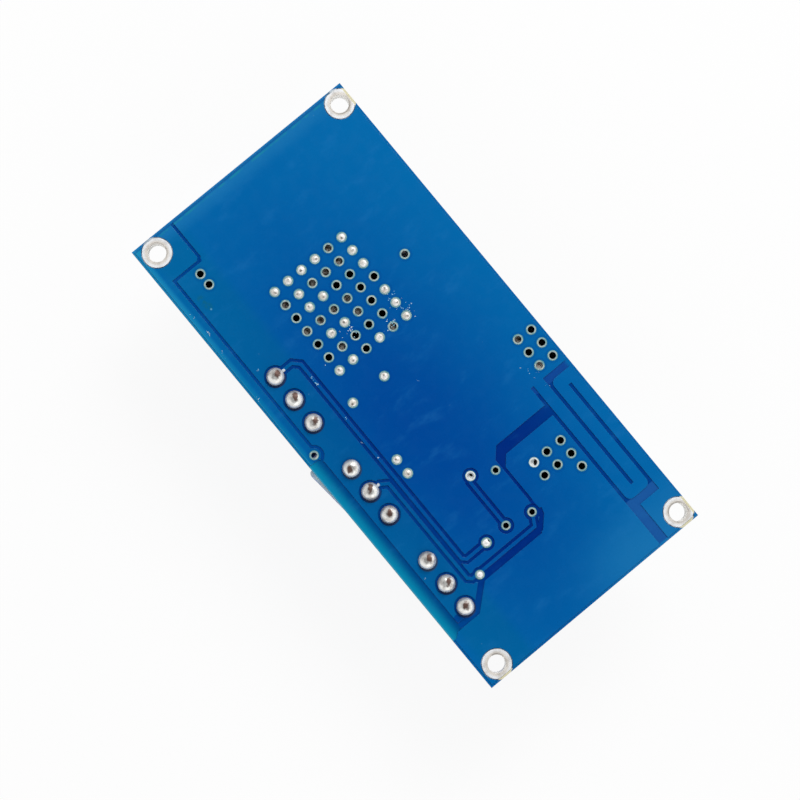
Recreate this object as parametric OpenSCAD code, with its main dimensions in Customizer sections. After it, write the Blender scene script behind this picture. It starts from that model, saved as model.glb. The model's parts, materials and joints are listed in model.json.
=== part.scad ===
// Step-down converter module with three multi-turn trimmers, lying with its component side down.
// Origin: centre of the four corner holes, on the solder face.
// +X runs from the input end to the output end, +Y away from the trimmer edge, +Z out of the
// solder face. All sizes are in millimetres.

/* [Board] */
// Length of the board
board_l = 48.1; // [47.5:0.1:52]
// Width of the board
board_w = 23; // [22.5:0.5:26]
// Thickness of the board
board_t = 1.6; // [0.8:0.1:2.4]
// Depth of the bare gaps between the copper areas of the solder face
relief = 0.06; // [0.03:0.01:0.12]
// Bare strip between the copper and the board's edges
edge_strip = 0.2; // [0.1:0.05:0.3]
// Thickness of the plating on pads, rings and hole walls
plate_t = 0.05; // [0.03:0.01:0.07]

/* [Corner holes] */
// Diameter of a corner hole, inside its plating
hole_d = 1.58; // [1.2:0.02:1.7]
// Diameter of the tinned ring round a corner hole
corner_ring_d = 2.56; // [2.1:0.02:2.6]
// Width of the mask opening outside that ring
mask_margin = 0.08; // [0.04:0.02:0.2]
// From the input end to its hole centres
hole_inset_input = 1.4; // [1.2:0.1:2]
// From the output end to its hole centres
hole_inset_output = 1.3; // [1.2:0.1:2]
// From the trimmer edge to the hole centres
hole_inset_near = 1.65; // [1.3:0.05:2]
// From the opposite edge to the hole centres
hole_inset_far = 1.15; // [1.1:0.05:2]

/* [Vias] */
// Columns of thermal vias under the regulator
thermal_cols = 7; // [3:1:7]
// Rows of thermal vias under the regulator
thermal_rows = 6; // [3:1:6]
// Distance between the columns
thermal_pitch_x = 1.45; // [1.2:0.05:1.5]
// Distance between the rows
thermal_pitch_y = 1.48; // [1.2:0.02:1.6]
// Hole of a power via
via_hole_d = 0.6; // [0.3:0.05:0.65]
// Tinned ring of a power via
via_ring_d = 0.84; // [0.8:0.02:1]
// Hole of a signal via
small_hole_d = 0.5; // [0.3:0.02:0.52]
// Tinned ring of a signal via
small_ring_d = 0.76; // [0.7:0.02:0.9]
// How far solder stands out of a filled via
via_dome_h = 0.12; // [0.05:0.01:0.2]

/* [Copper of the solder face] */
// Width of a signal trace
trace_w = 0.3; // [0.2:0.02:0.4]
// Width of the gap beside a trace
gap_w = 0.26; // [0.15:0.01:0.3]
// Bare width round an isolated via or pin
clear_w = 0.28; // [0.2:0.02:0.36]
// How far the corners of traces and of the input corner's outline are cut off
corner_cut = 0.3; // [0.1:0.05:0.35]
// Copper width of the folded current shunt
shunt_w = 1.05; // [0.8:0.05:1.2]
// Copper width of its run along the board's edge
shunt_edge_w = 0.92; // [0.8:0.02:1.2]
// Width of the gaps between its runs
shunt_gap = 0.3; // [0.2:0.02:0.34]
// Width of the wide gap at its start
shunt_start_gap = 0.62; // [0.4:0.02:0.9]
// Width of the wide gap at its output end
shunt_end_gap = 0.78; // [0.4:0.02:0.9]
// Width of the wide gap beside the output pad
pad_gap = 0.9; // [0.7:0.05:1]
// Length of the folded shunt
shunt_l = 13.56; // [10:0.02:14]
// From the output end to the shunt
shunt_inset = 3.9; // [3.5:0.1:5]
// From the shunt's ends to where its runs fold
shunt_fold = 1.8; // [1.7:0.05:2.2]
// Rounding of the shunt's folds
shunt_round = 0.55; // [0.2:0.05:0.6]
// Width of the wide gap beside the inductor's pad
ind_pad_gap = 1.08; // [0.8:0.02:1.2]
// Narrowest gap that etching opens
etch_min = 0.08; // [0.04:0.02:0.12]

/* [Trimmers] */
// Length of a trimmer's housing
trimmer_l = 9.53; // [8.5:0.01:9.8]
// Width of a trimmer's housing
trimmer_w = 4.83; // [4.2:0.01:5]
// Height of a trimmer from the board to the housing's face
trimmer_h = 10.03; // [9:0.01:12]
// Place of the middle trimmer along the board
trimmer_mid_x = 4.56; // [4.4:0.02:4.8]
// Gap between neighbouring trimmers
trimmer_gap = 0.62; // [0.5:0.01:1]
// From the board's edge to the housings
trimmer_inset = 0.28; // [0.1:0.01:0.6]
// How far the middle trimmer is turned out of line
middle_skew = 4.8; // [0:0.2:5]
// How far the middle trimmer is pushed outwards
middle_push = 0.2; // [0:0.05:0.3]
// Wall of the housing round the resin
trimmer_wall = 0.5; // [0.4:0.05:0.8]
// Depth of the resin that closes the housing
resin_depth = 1.2; // [0.8:0.1:1.6]
// Height of the housing's feet
foot_h = 0.3; // [0.2:0.05:0.5]
// Distance between a trimmer's pins
pin_pitch = 2.54; // [2.3:0.01:2.8]
// Diameter of a pin
pin_d = 0.51; // [0.4:0.01:0.6]
// Plated hole for a pin
pin_hole_d = 0.86; // [0.8:0.02:1]
// Ring round a pin's hole
pin_ring_d = 1.56; // [1.4:0.02:1.7]
// Height of the solder on a pin
pin_dome_h = 0.55; // [0.4:0.05:0.8]
// How far a pin's tip stands out of its solder
pin_tip_h = 0.07; // [0.03:0.01:0.2]
// How far the pins lean to one side of their holes
pin_lean = 0.04; // [0:0.01:0.14]

/* [Adjusting screws] */
// Diameter of the screw's head
screw_d = 2.19; // [1.8:0.01:2.3]
// How far the head stands out of the housing
screw_proud = 0.8; // [0.4:0.05:1.2]
// Width of the screwdriver slot
slot_w = 0.56; // [0.4:0.01:0.8]
// Depth of the screwdriver slot
slot_depth = 0.76; // [0.4:0.01:0.9]
// From the housing's end and side to the screw's axis
screw_inset = 1.5; // [1.45:0.01:1.9]
// Depth of the head's bore in the housing
screw_seat = 1.6; // [1:0.1:2.5]
// Diameter of the screw's shank
shank_d = 1.3; // [1:0.05:1.5]
// Length of the shank below the head
shank_l = 3; // [2:0.1:4]
// Running clearance round the screw
screw_clear = 0.05; // [0.02:0.01:0.09]

/* [Regulator] */
// Width of the regulator's body and tab
reg_w = 10.2; // [9.4:0.1:10.4]
// Length of the regulator's body
reg_body_l = 9; // [8:0.1:9.2]
// Height of the regulator's body
reg_h = 4.4; // [3.5:0.1:5]
// Thickness of the metal tab
tab_t = 1.3; // [0.8:0.1:1.6]
// How far the tab stands out of the body
tab_out = 1.3; // [0.8:0.1:1.6]
// Distance between the regulator's leads
reg_pitch = 1.7; // [1.5:0.01:1.8]
// Width of a lead
reg_lead_w = 0.8; // [0.6:0.05:1]
// Thickness of a lead
reg_lead_t = 0.5; // [0.3:0.05:0.6]
// Reach of the leads from the body
reg_lead_reach = 4.9; // [4:0.1:5.2]
// Length of a lead's foot on the board
reg_foot = 2.3; // [1.5:0.1:2.6]
// Height of the leads where they leave the body
reg_lead_z = 2.5; // [2:0.1:2.8]
// Gap between the regulator and the inductor
reg_gap = 0.7; // [0.5:0.1:1]
// Gap between the trimmers and the regulator's tab
tab_gap = 1.5; // [1.4:0.1:2]

/* [Inductor] */
// Side of the square inductor
ind_w = 12.2; // [11:0.1:12.4]
// Height of the inductor
ind_h = 7.6; // [5:0.1:9]
// Thickness of its base plate
ind_base_t = 0.9; // [0.6:0.1:1.4]
// Thinnest wall of the shield round the drum core
shield_wall = 0.85; // [0.7:0.05:1.2]
// Thickness of the drum core's flanges
drum_flange_t = 1.3; // [0.8:0.1:1.8]
// Diameter of the drum core's post
drum_post_d = 4.8; // [3:0.1:6]
// Gap between the drum core and the shield
drum_gap = 0.45; // [0.3:0.05:0.6]
// Corner chamfer of the shield
shield_chamfer = 1.6; // [1:0.1:2]
// Width of an inductor terminal
ind_term_w = 5; // [3:0.1:6]
// Reach of a terminal under the base plate
ind_term_l = 2.4; // [1.8:0.1:2.6]
// Thickness of a terminal
ind_term_t = 0.2; // [0.15:0.05:0.3]
// Gap between the trimmers and the inductor
ind_gap = 2; // [1.9:0.1:2.4]
// Place of the inductor along the board
ind_x = 2.5; // [2:0.1:3]

/* [Electrolytic capacitors] */
// Diameter of a capacitor's can
can_d = 8; // [6.3:0.1:8.2]
// Height of a capacitor
can_h = 10.3; // [7:0.1:11]
// Side of its square base
cap_base_w = 8.3; // [8:0.1:8.6]
// Thickness of its base
cap_base_t = 1.3; // [0.8:0.1:2]
// Depth of the bead rolled into the can
can_bead = 0.35; // [0.2:0.05:0.5]
// Width of a terminal
cap_term_w = 0.9; // [0.6:0.1:1.2]
// How far a terminal stands out of the base
cap_term_out = 0.9; // [0.6:0.1:1.1]
// Length of a terminal's pad
cap_pad_l = 3; // [2.4:0.1:3.2]
// Gap between the regulator and the input capacitor
in_cap_gap = 0.35; // [0.3:0.05:0.8]
// From the trimmer edge to the input capacitor's base
in_cap_inset = 2.9; // [2.85:0.05:3.2]
// Gap between the inductor and the output capacitor
out_cap_gap = 2.6; // [2.5:0.1:2.8]
// From the far edge to the output capacitor's base
out_cap_inset = 1.85; // [1.6:0.05:2]

/* [Small parts] */
// Length of the diode's body
diode_l = 4.3; // [4:0.1:4.6]
// Width of the diode's body
diode_w = 2.6; // [2.2:0.1:2.7]
// Height of the diode
diode_h = 2.2; // [1.8:0.1:2.6]
// Reach of a diode's terminal under its body
diode_foot = 0.9; // [0.7:0.1:1.2]
// How far a diode's terminal stands out of its body
diode_out = 0.35; // [0.2:0.05:0.5]
// Gap between the inductor and the amplifier
amp_gap = 1.15; // [1.1:0.05:1.4]
// Length of the amplifier's body
amp_l = 4.9; // [4.7:0.1:5]
// Width of the amplifier's body
amp_w = 3.9; // [3.7:0.1:4]
// Height of the amplifier's body
amp_h = 1.5; // [1.2:0.1:1.8]
// Reach of the amplifier's leads from its body
amp_reach = 1.05; // [0.9:0.05:1.1]
// Distance between the amplifier's leads
amp_pitch = 1.27; // [1.2:0.01:1.3]
// Length of the small regulator's body
ldo_l = 4.5; // [4:0.1:4.6]
// Width of the small regulator's body
ldo_w = 2.5; // [2.2:0.1:2.7]
// Height of the small regulator's body
ldo_h = 1.5; // [1.2:0.1:1.8]
// Thickness of the small regulator's leads
ldo_lead_t = 0.4; // [0.3:0.05:0.5]
// Distance between the small regulator's leads
ldo_pitch = 1.5; // [1.4:0.05:1.6]
// Width of the small regulator's leads
ldo_lead_w = 0.44; // [0.36:0.02:0.5]
// How far its leads stand out of its body
ldo_reach = 0.95; // [0.8:0.05:1]
// Width of its tab
ldo_tab_w = 1.7; // [1.5:0.1:1.9]
// Length of a chip resistor
res_l = 1.6; // [1.4:0.1:1.8]
// Width of a chip resistor
res_w = 0.8; // [0.7:0.05:0.9]
// Height of a chip resistor
res_h = 0.45; // [0.35:0.05:0.6]
// Distance between the resistors in a row
res_pitch = 2.6; // [2.1:0.1:2.8]
// Distance between neighbouring rows of chip parts
row_pitch = 1.6; // [1.4:0.1:1.8]
// Length of a resistor's or an indicator's soldered end
res_end = 0.3; // [0.2:0.05:0.4]
// Length of a ceramic capacitor or indicator
chip_l = 2; // [1.8:0.1:2.1]
// Width of a ceramic capacitor or indicator
chip_w = 1.25; // [1.1:0.05:1.3]
// Height of a ceramic capacitor
chip_h = 0.9; // [0.6:0.05:1.2]
// Length of a ceramic capacitor's soldered end
chip_end = 0.45; // [0.3:0.05:0.5]
// How far a chip's body is set back from the faces of its ends
chip_step = 0.02; // [0.01:0.01:0.05]
// Height of an indicator's base
lamp_base_h = 0.44; // [0.35:0.01:0.5]
// Height of an indicator
lamp_h = 0.85; // [0.7:0.05:1.1]
// Distance between the indicators
lamp_pitch = 3; // [2.4:0.1:3.2]
// From the output end to the indicators
lamp_inset = 1.5; // [1.3:0.05:1.8]
// Length of the glass diode
glass_l = 3.5; // [3.2:0.1:3.6]
// Diameter of the glass diode
glass_d = 1.4; // [1.2:0.1:1.5]
// Length of the glass diode's caps
glass_cap_l = 0.4; // [0.3:0.05:0.5]
// How far a pad stands out past what is soldered to it
pad_margin = 0.15; // [0.05:0.05:0.2]

/* [Hidden] */
$fn = 48;

// Edges of the board in the frame of the hole pattern
hole_x = (board_l - hole_inset_input - hole_inset_output) / 2;
hole_y = (board_w - hole_inset_near - hole_inset_far) / 2;
input_x = -hole_x - hole_inset_input;
output_x = hole_x + hole_inset_output;
near_y = -hole_y - hole_inset_near;
far_y = hole_y + hole_inset_far;

// Places of the large parts, each next to its neighbour
trimmer_y = near_y + trimmer_inset + trimmer_w / 2;
trimmer_face_y = trimmer_y + trimmer_w / 2;
reg_x = ind_x - ind_w / 2 - reg_gap - reg_w / 2;
reg_y = trimmer_face_y + tab_gap + tab_out + reg_body_l / 2;
tab_w = reg_w - 0.6;
tab_front = reg_body_l / 2 + tab_out;
tab_back = -0.25 * reg_body_l - 1.5;
ind_y = trimmer_face_y + ind_gap + ind_w / 2;
drum_d = ind_w - 2 * (shield_wall + drum_gap);
in_cap_x = reg_x - reg_w / 2 - in_cap_gap - cap_base_w / 2;
in_cap_y = near_y + in_cap_inset + cap_base_w / 2;
out_cap_x = ind_x + ind_w / 2 + out_cap_gap + cap_base_w / 2;
out_cap_y = far_y - out_cap_inset - cap_base_w / 2;

// Places of the small parts
cap_pad_x = cap_base_w / 2 + cap_term_out - cap_pad_l / 2;
diode_term_w = diode_w * 0.55;
diode_x = ind_x + 1.54;
diode_y = far_y - 0.35 - diode_w / 2;
amp_x = ind_x + ind_w / 2 + amp_gap + amp_l / 2;
amp_y = trimmer_face_y + 0.35 + amp_reach + amp_w / 2;
ldo_lead_in = 0.4;
ldo_tab_out = 0.6;
ldo_x = in_cap_x;
ldo_y = far_y - 5.2;
glass_x = ind_x - 1.6;
strip_y = trimmer_face_y + 0.85;
left_strip_y = trimmer_face_y + 0.6;
right_x = amp_x + amp_l / 2 + 1.9;
lamp_x = output_x - lamp_inset;
output_row_x = lamp_x - 1.7;
out_row_y = far_y - 5.4;
between_x = reg_x + reg_w / 2 + 2.2;
between_y = far_y - 1.3;

// Chip parts as [x, y, turn]
resistors = [
  for (i = [-1:1]) [reg_x - 0.3 + i * res_pitch, left_strip_y, 0],
  [trimmer_mid_x + 3.4, strip_y, 0],
  [ind_x + 12.1, amp_y + amp_w / 2 + amp_reach + 0.75, 0],
  for (i = [0:1]) [right_x + i * row_pitch, amp_y - 1, 90],
  for (i = [0:1]) [right_x + i * row_pitch, amp_y - 0.5 + res_pitch, 90],
  for (i = [0:1]) [output_row_x, out_row_y - i * (res_pitch + 0.2), 90],
  [between_x, between_y, 0],
  [in_cap_x, ldo_y + 3.9, 0]
];
ceramic_capacitors = [
  [ind_x + 7.4, out_cap_y - cap_base_w / 2 + 0.2, 90],
  [in_cap_x + 3.6, ldo_y - 0.2, 90],
  [in_cap_x - 3.7, ldo_y - 0.2, 90],
  [lamp_x, out_row_y - 1.2, 90],
  [between_x, between_y - row_pitch, 0]
];
indicators = [for (i = [0:2]) [lamp_x, near_y + 5.2 + i * lamp_pitch, 90]];

// Vias that matter to the copper, and how each is filled: F full, H half, O open
via_mid = [14.23, -4.21];
via_low = [15.96, -6.38];
via_top = [14.7, 0.46];
via_left = [8.99, -1.63];
via_right = [14.17, -1.99];
via_strip = [-0.86, -10.78];
small_vias = [
  [via_top, "O"], [via_right, "O"], [via_strip, "O"], [[9.98, 0.34], "O"], [via_low, "F"]
];
out_vias_x = 11.56;
out_vias_pitch = 1.43;
power_vias = [
  [via_mid, "F"], [via_left, "H"],
  [[reg_x + 0.2, reg_y + reg_body_l / 2 + 1], "O"],
  [[-2.25, -1.86], "F"], [[-2.2, -5.38], "F"], [[3.92, -5.58], "F"], [[5.41, -5.6], "F"],
  [[in_cap_x + 0.04, in_cap_y - 3.7], "O"], [[in_cap_x + 1.2, in_cap_y - 3.7], "O"],
  for (i = [-1:1]) [[diode_x + 0.07 + i * 1.44, diode_y + 0.78], "O"],
  for (i = [-1:1]) [[diode_x + i * 1.44, diode_y - 0.63], i == 0 ? "O" : "H"],
  for (i = [0:2]) [[out_vias_x + i * out_vias_pitch, 6.25], "O"],
  for (i = [0:1]) [[out_vias_x + i * out_vias_pitch, 4.73], "O"],
  for (i = [0:1]) [[out_vias_x + i * out_vias_pitch, 3.3], i == 0 ? "H" : "O"]
];
thermal_fill = ["FFFOFFF", "HHOOOOH", "FHOHHOF", "FHFHFOO", "FFFHFHF", "FHOHOOF"];
thermal_y = reg_y - 1.45;
thermal_vias_at = [
  for (r = [0:thermal_rows - 1], c = [0:thermal_cols - 1])
    [[reg_x + (c - (thermal_cols - 1) / 2) * thermal_pitch_x,
      thermal_y - (r - (thermal_rows - 1) / 2) * thermal_pitch_y], thermal_fill[r][c]]
];

// Copper paths of the solder face
shunt_x1 = output_x - shunt_inset;
shunt_x0 = shunt_x1 - shunt_l;
shunt_pitch = shunt_w + shunt_gap;
shunt_y = [for (k = [0:2]) far_y - edge_strip - shunt_edge_w - shunt_gap / 2 - k * shunt_pitch];
shunt_low_y = shunt_y[2] - shunt_gap / 2;
input_step_x = input_x + 4.22;
edge_gap_y = -hole_y - 0.4;
strip_end_x = 18.5;
ind_gap_x = 8.4;
trace_1_y = -6.7;
trace_2_y = -7.4;
trace_2_x = 15.81;
trace_3_y = -2;
right_strip_x = trace_2_x + 0.48;
trace_1 = [
  pin_at(0, -1), pin_at(0, -1) + [0, 1.8], [-7.55, trace_1_y],
  [via_mid.x - corner_cut, trace_1_y], [via_mid.x, trace_1_y + corner_cut], via_mid
];
trace_2 = [
  pin_at(1, 0), pin_at(1, 0) + [0.05, 1], [5.05, trace_2_y],
  [trace_2_x - corner_cut, trace_2_y], [trace_2_x, trace_2_y + corner_cut],
  [trace_2_x, -0.15], via_top
];
trace_3 = [via_left, [9.4, trace_3_y], [13.7, trace_3_y], via_right];

eps = 0.01;

function trimmer_x(i) = trimmer_mid_x + (i - 1) * (trimmer_l + trimmer_gap);
function pin_at(i, k) = [trimmer_x(i) + k * pin_pitch, trimmer_y];
function unit(v) = v / norm(v);
function arc(c, r, a0, a1, n = 8) = [
  for (i = [0:n]) let (a = a0 + (a1 - a0) * i / n) c + r * [cos(a), sin(a)]
];
// The point beside corner i of a path, at distance d to its left
function beside(path, i, d) =
  let (
    last = len(path) - 1,
    a = unit(path[max(i, 1)] - path[max(i, 1) - 1]),
    b = unit(path[min(i, last - 1) + 1] - path[min(i, last - 1)]),
    m = unit([-a.y - b.y, a.x + b.x])
  )
  path[i] + m * d / (m * [-a.y, a.x]);
// The outline of a strip of width w along a path
function strip_outline(path, w) = concat(
  [for (i = [0:len(path) - 1]) beside(path, i, w / 2)],
  [for (i = [len(path) - 1:-1:0]) beside(path, i, -w / 2)]
);

module strip(path, w) {
  polygon(strip_outline(path, w));
}

module disc(at, d) {
  translate(at) circle(d = d);
}

module rect(x0, y0, x1, y1) {
  translate([x0, y0]) square([x1 - x0, y1 - y0]);
}

// A rectangle with round corners, centred
module round_rect(l, w, r) {
  square([l - 2 * r, w], center = true);
  square([l, w - 2 * r], center = true);
  for (x = [-1, 1], y = [-1, 1]) disc([x * (l / 2 - r), y * (w / 2 - r)], 2 * r);
}

// A profile in the Y-Z plane, extruded along X and centred
module along_x(w) {
  rotate([90, 0, 90]) linear_extrude(w, center = true) children();
}

// Places a part on the component side, with its own +Z pointing away from the board
module on_back(x, y, turn = 0) {
  translate([x, y, -board_t]) rotate([180, 0, 0]) rotate([0, 0, turn]) children();
}

module at_corners() {
  for (x = [-1, 1], y = [-1, 1])
    translate([x * hole_x, y * hole_y]) children();
}

// All of the board's face inside the bare strip along its edges
module inside_strip() {
  rect(input_x + edge_strip, near_y + edge_strip, output_x - edge_strip, far_y - edge_strip);
}

// The bare area outside a rounded corner of the shunt, which points toward one side
module round_off(corner, toward) {
  difference() {
    translate(corner - toward * shunt_round / 2) square(shunt_round, center = true);
    disc(corner - toward * shunt_round, 2 * shunt_round);
  }
}

// Bare gaps between the copper areas, cut into the solder face
module bare_gaps() {
  difference() {
    union() {
      // The strip along the edges, and the mask openings of the corner rings
      difference() {
        rect(input_x - 1, near_y - 1, output_x + 1, far_y + 1);
        inside_strip();
      }
      at_corners() circle(d = corner_ring_d + 2 * mask_margin);
      // The input corner's outline
      strip([
        [input_x - 1, edge_gap_y + 2.95], [input_step_x - corner_cut, edge_gap_y + 2.95],
        [input_step_x, edge_gap_y + 2.95 - corner_cut], [input_step_x, edge_gap_y],
        [via_strip.x - 0.7, edge_gap_y], each arc(via_strip, 0.75, 150, 30),
        [via_strip.x + 0.9, edge_gap_y - 0.2], [0.3, edge_gap_y - 0.2]
      ], gap_w);
      // The bare strip along the trimmer edge
      polygon([
        [-0.35, edge_gap_y - 0.2], [0.15, edge_gap_y + 0.04], [strip_end_x, edge_gap_y + 0.04],
        [strip_end_x, edge_gap_y - 0.45], [strip_end_x + 0.35, edge_gap_y - 0.85],
        [strip_end_x + 0.35, near_y - 1], [-0.35, near_y - 1]
      ]);
      // The three signal traces' surrounds
      strip(trace_1, trace_w + 2 * gap_w);
      strip([[4.9, -6.97], [via_mid.x, -6.97]], 0.5);
      strip(trace_2, trace_w + 2 * gap_w);
      strip([[right_strip_x, 0], [right_strip_x, -6.4]], 0.66);
      strip(trace_3, trace_w + 2 * gap_w);
      for (v = [via_mid, via_left, via_right, via_top]) disc(v, via_ring_d + 2 * clear_w);
      disc(via_low, small_ring_d + 2 * clear_w);
      for (p = [pin_at(0, -1), pin_at(0, 0), pin_at(0, 1), pin_at(1, 0), pin_at(1, 1),
                pin_at(2, 0), pin_at(2, 1)])
        disc(p, pin_ring_d + 1.4 * clear_w);
      // From the wide gap beside the inductor's pad, over the top via and down to the strip
      translate([ind_gap_x, 0]) polygon([
        [0, shunt_y[2]], [ind_pad_gap, shunt_y[2]], [ind_pad_gap, 1.92],
        [ind_pad_gap + 0.85, 1.16], [ind_pad_gap + 0.85, 0.9], [ind_pad_gap - 0.15, 0.88],
        [0, 1.73]
      ]);
      strip([[10.1, 1.03], [13.9, 1.03]], gap_w);
      strip([[14.85, 1.15], [15.35, 1], [right_strip_x, 0.1], [right_strip_x, -0.6]], 0.4);
      strip([[16.1, -6.2], [17.95, -8.3], [18.22, -8.6], [18.22, edge_gap_y]], 0.54);
      // The folded shunt
      rect(shunt_x0, shunt_y[1], shunt_x0 + shunt_start_gap, far_y);
      strip([[shunt_x0 + shunt_fold, shunt_y[0]], [shunt_x1, shunt_y[0]]], shunt_gap);
      strip([[shunt_x0, shunt_y[1]], [shunt_x1 - shunt_fold, shunt_y[1]]], shunt_gap);
      strip([[shunt_x0, shunt_y[2]], [shunt_x1 - shunt_end_gap / 2, shunt_y[2]]], shunt_gap);
      rect(shunt_x1 - shunt_end_gap, shunt_low_y, shunt_x1, shunt_y[0] + shunt_gap / 2);
      rect(shunt_x1 - shunt_end_gap, shunt_low_y, output_x, shunt_low_y + pad_gap);
      round_off([shunt_x0 + shunt_start_gap, shunt_y[1] + shunt_gap / 2], [-1, -1]);
      round_off([shunt_x1 - shunt_end_gap, shunt_y[0] - shunt_gap / 2], [1, 1]);
      round_off([shunt_x1 - shunt_end_gap, shunt_y[2] + shunt_gap / 2], [1, -1]);
    }
    for (t = [trace_1, trace_2, trace_3]) strip(t, trace_w);
    for (v = [via_mid, via_left, via_right]) disc(v, via_ring_d);
    for (v = [via_low, via_top, via_strip]) disc(v, small_ring_d);
    for (i = [0:2], k = [-1:1]) disc(pin_at(i, k), pin_ring_d);
  }
}

module board_hole(at, d) {
  translate([at.x, at.y, -2 * board_t]) cylinder(d = d + 2 * plate_t, h = 3 * board_t);
}

module board() {
  color("#0b63a8") difference() {
    translate([input_x, near_y, -board_t]) cube([board_l, board_w, board_t]);
    at_corners() board_hole([0, 0], hole_d);
    for (v = concat(power_vias, thermal_vias_at)) board_hole(v[0], via_hole_d);
    for (v = small_vias) board_hole(v[0], small_hole_d);
    for (i = [0:2], k = [-1:1]) board_hole(pin_at(i, k), pin_hole_d);
    // Etching opens no gap narrower than etch_min
    translate([0, 0, -relief]) linear_extrude(2 * relief)
      offset(delta = etch_min / 2) offset(delta = -etch_min / 2) bare_gaps($fn = 22);
  }
}

// A plated hole with its ring on the solder face and, where asked, on the other face
module plated_hole(d, ring_d, sink = 0, both = false) {
  rotate_extrude() {
    rect(d / 2, -board_t - (both ? plate_t : 0), d / 2 + plate_t, plate_t / 2);
    rect(d / 2, -sink, ring_d / 2, plate_t / 2);
    if (both) rect(d / 2, -board_t - plate_t, ring_d / 2, -board_t);
  }
}

module corner_pads() {
  color("#dfe2e2") intersection() {
    at_corners() plated_hole(hole_d, corner_ring_d, relief, true);
    translate([0, 0, -2 * board_t]) linear_extrude(3 * board_t) inside_strip();
  }
}

module thermal_vias() {
  color("#c9cbc8") for (v = thermal_vias_at)
    translate(v[0]) plated_hole(via_hole_d, via_ring_d);
}

module signal_vias() {
  color("#c9cbc8") {
    for (v = power_vias) translate(v[0]) plated_hole(via_hole_d, via_ring_d);
    for (v = small_vias) translate(v[0]) plated_hole(small_hole_d, small_ring_d);
  }
}

// Solder in a via of hole d: a plug, and a low dome on a full one
module via_plug(d, full) {
  top = full ? plate_t / 2 : -board_t / 5;
  ball_r = (d * d / 4 + via_dome_h * via_dome_h) / (2 * via_dome_h);
  translate([0, 0, -board_t * 0.8]) cylinder(d = d, h = board_t * 0.8 + top);
  if (full) intersection() {
    translate([0, 0, top]) cylinder(d = d, h = via_dome_h);
    translate([0, 0, top + via_dome_h - ball_r]) sphere(r = ball_r);
  }
}

module via_solder() {
  color("#e4e5e2") {
    for (v = concat(power_vias, thermal_vias_at))
      if (v[1] != "O") translate(v[0]) via_plug(via_hole_d, v[1] == "F");
    for (v = small_vias)
      if (v[1] != "O") translate(v[0]) via_plug(small_hole_d, v[1] == "F");
  }
}

module pin_pads() {
  color("#c9cbc8") for (i = [0:2], k = [-1:1])
    translate(pin_at(i, k)) plated_hole(pin_hole_d, pin_ring_d, 0, true);
}

// The solder that fills a pin's hole and stands up round its tip
module pin_solder() {
  r = pin_ring_d / 2 - 0.02;
  ball_r = (r * r + pin_dome_h * pin_dome_h) / (2 * pin_dome_h);
  color("#d9dad8") difference() {
    for (i = [0:2], k = [-1:1]) translate(pin_at(i, k)) {
      translate([0, 0, -board_t]) cylinder(d = pin_hole_d, h = board_t + plate_t / 2);
      translate([0, 0, plate_t / 2]) intersection() {
        cylinder(r = r, h = pin_dome_h);
        translate([0, 0, pin_dome_h - ball_r]) sphere(r = ball_r);
      }
    }
    for (i = [0:2]) pins(i);
  }
}

// The three straight pins of trimmer i, from inside its resin to the tips on the solder face
module pins(i) {
  top = plate_t / 2 + pin_dome_h + pin_tip_h;
  bottom = -board_t - foot_h - resin_depth / 2;
  for (k = [-1:1])
    translate([pin_at(i, k).x - pin_lean, pin_at(i, k).y - pin_lean, bottom])
      cylinder(d = pin_d, h = top - bottom);
}

// Stands trimmer i in its place, with its own +Z pointing away from the board
module trimmer_place(i) {
  out = i == 1 ? middle_push : 0;
  skew = i == 1 ? middle_skew : 0;
  translate([trimmer_x(i), trimmer_y - out, -board_t]) rotate([0, 0, skew]) rotate([180, 0, 0])
    children();
}

module trimmer_screw_place() {
  translate([screw_inset - trimmer_l / 2, trimmer_w / 2 - screw_inset, trimmer_h]) children();
}

module resin_outline() {
  round_rect(trimmer_l - 4 * trimmer_wall, trimmer_w - 4 * trimmer_wall, 0.2);
}

module trimmer_housing(i) {
  color("#1f5fb0") trimmer_place(i) difference() {
    union() {
      translate([0, 0, foot_h]) linear_extrude(trimmer_h - foot_h - 0.25)
        round_rect(trimmer_l, trimmer_w, 0.25);
      translate([0, 0, trimmer_h - 0.25]) linear_extrude(0.25)
        round_rect(trimmer_l - 0.4, trimmer_w - 0.4, 0.25);
      for (x = [-1, 1], y = [-1, 1])
        translate([x * (trimmer_l / 2 - 0.8), y * (trimmer_w / 2 - 0.55), 0])
          cylinder(d = 0.9, h = foot_h);
    }
    // The pocket that the resin fills
    translate([0, 0, foot_h - eps]) linear_extrude(resin_depth + eps) resin_outline();
    // The screw's bore, and the relief round its head
    trimmer_screw_place() {
      translate([0, 0, -screw_seat]) cylinder(d = screw_d + 2 * screw_clear, h = screw_seat + 1);
      translate([0, 0, -screw_seat - shank_l - screw_clear])
        cylinder(d = shank_d + 2 * screw_clear, h = shank_l + 1);
    }
    // The moulding's recess in the face beside the screw
    translate([screw_inset, 0, trimmer_h - 0.3]) linear_extrude(1)
      round_rect(trimmer_l - 2 * screw_inset - 2.4, trimmer_w - 1.6, 0.4);
  }
}

module trimmer_resin(i) {
  color("#d8d2bd") difference() {
    trimmer_place(i) translate([0, 0, foot_h]) linear_extrude(resin_depth) resin_outline();
    pins(i);
  }
}

module trimmer_pins(i) {
  color("#b9a58c") pins(i);
}

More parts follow.
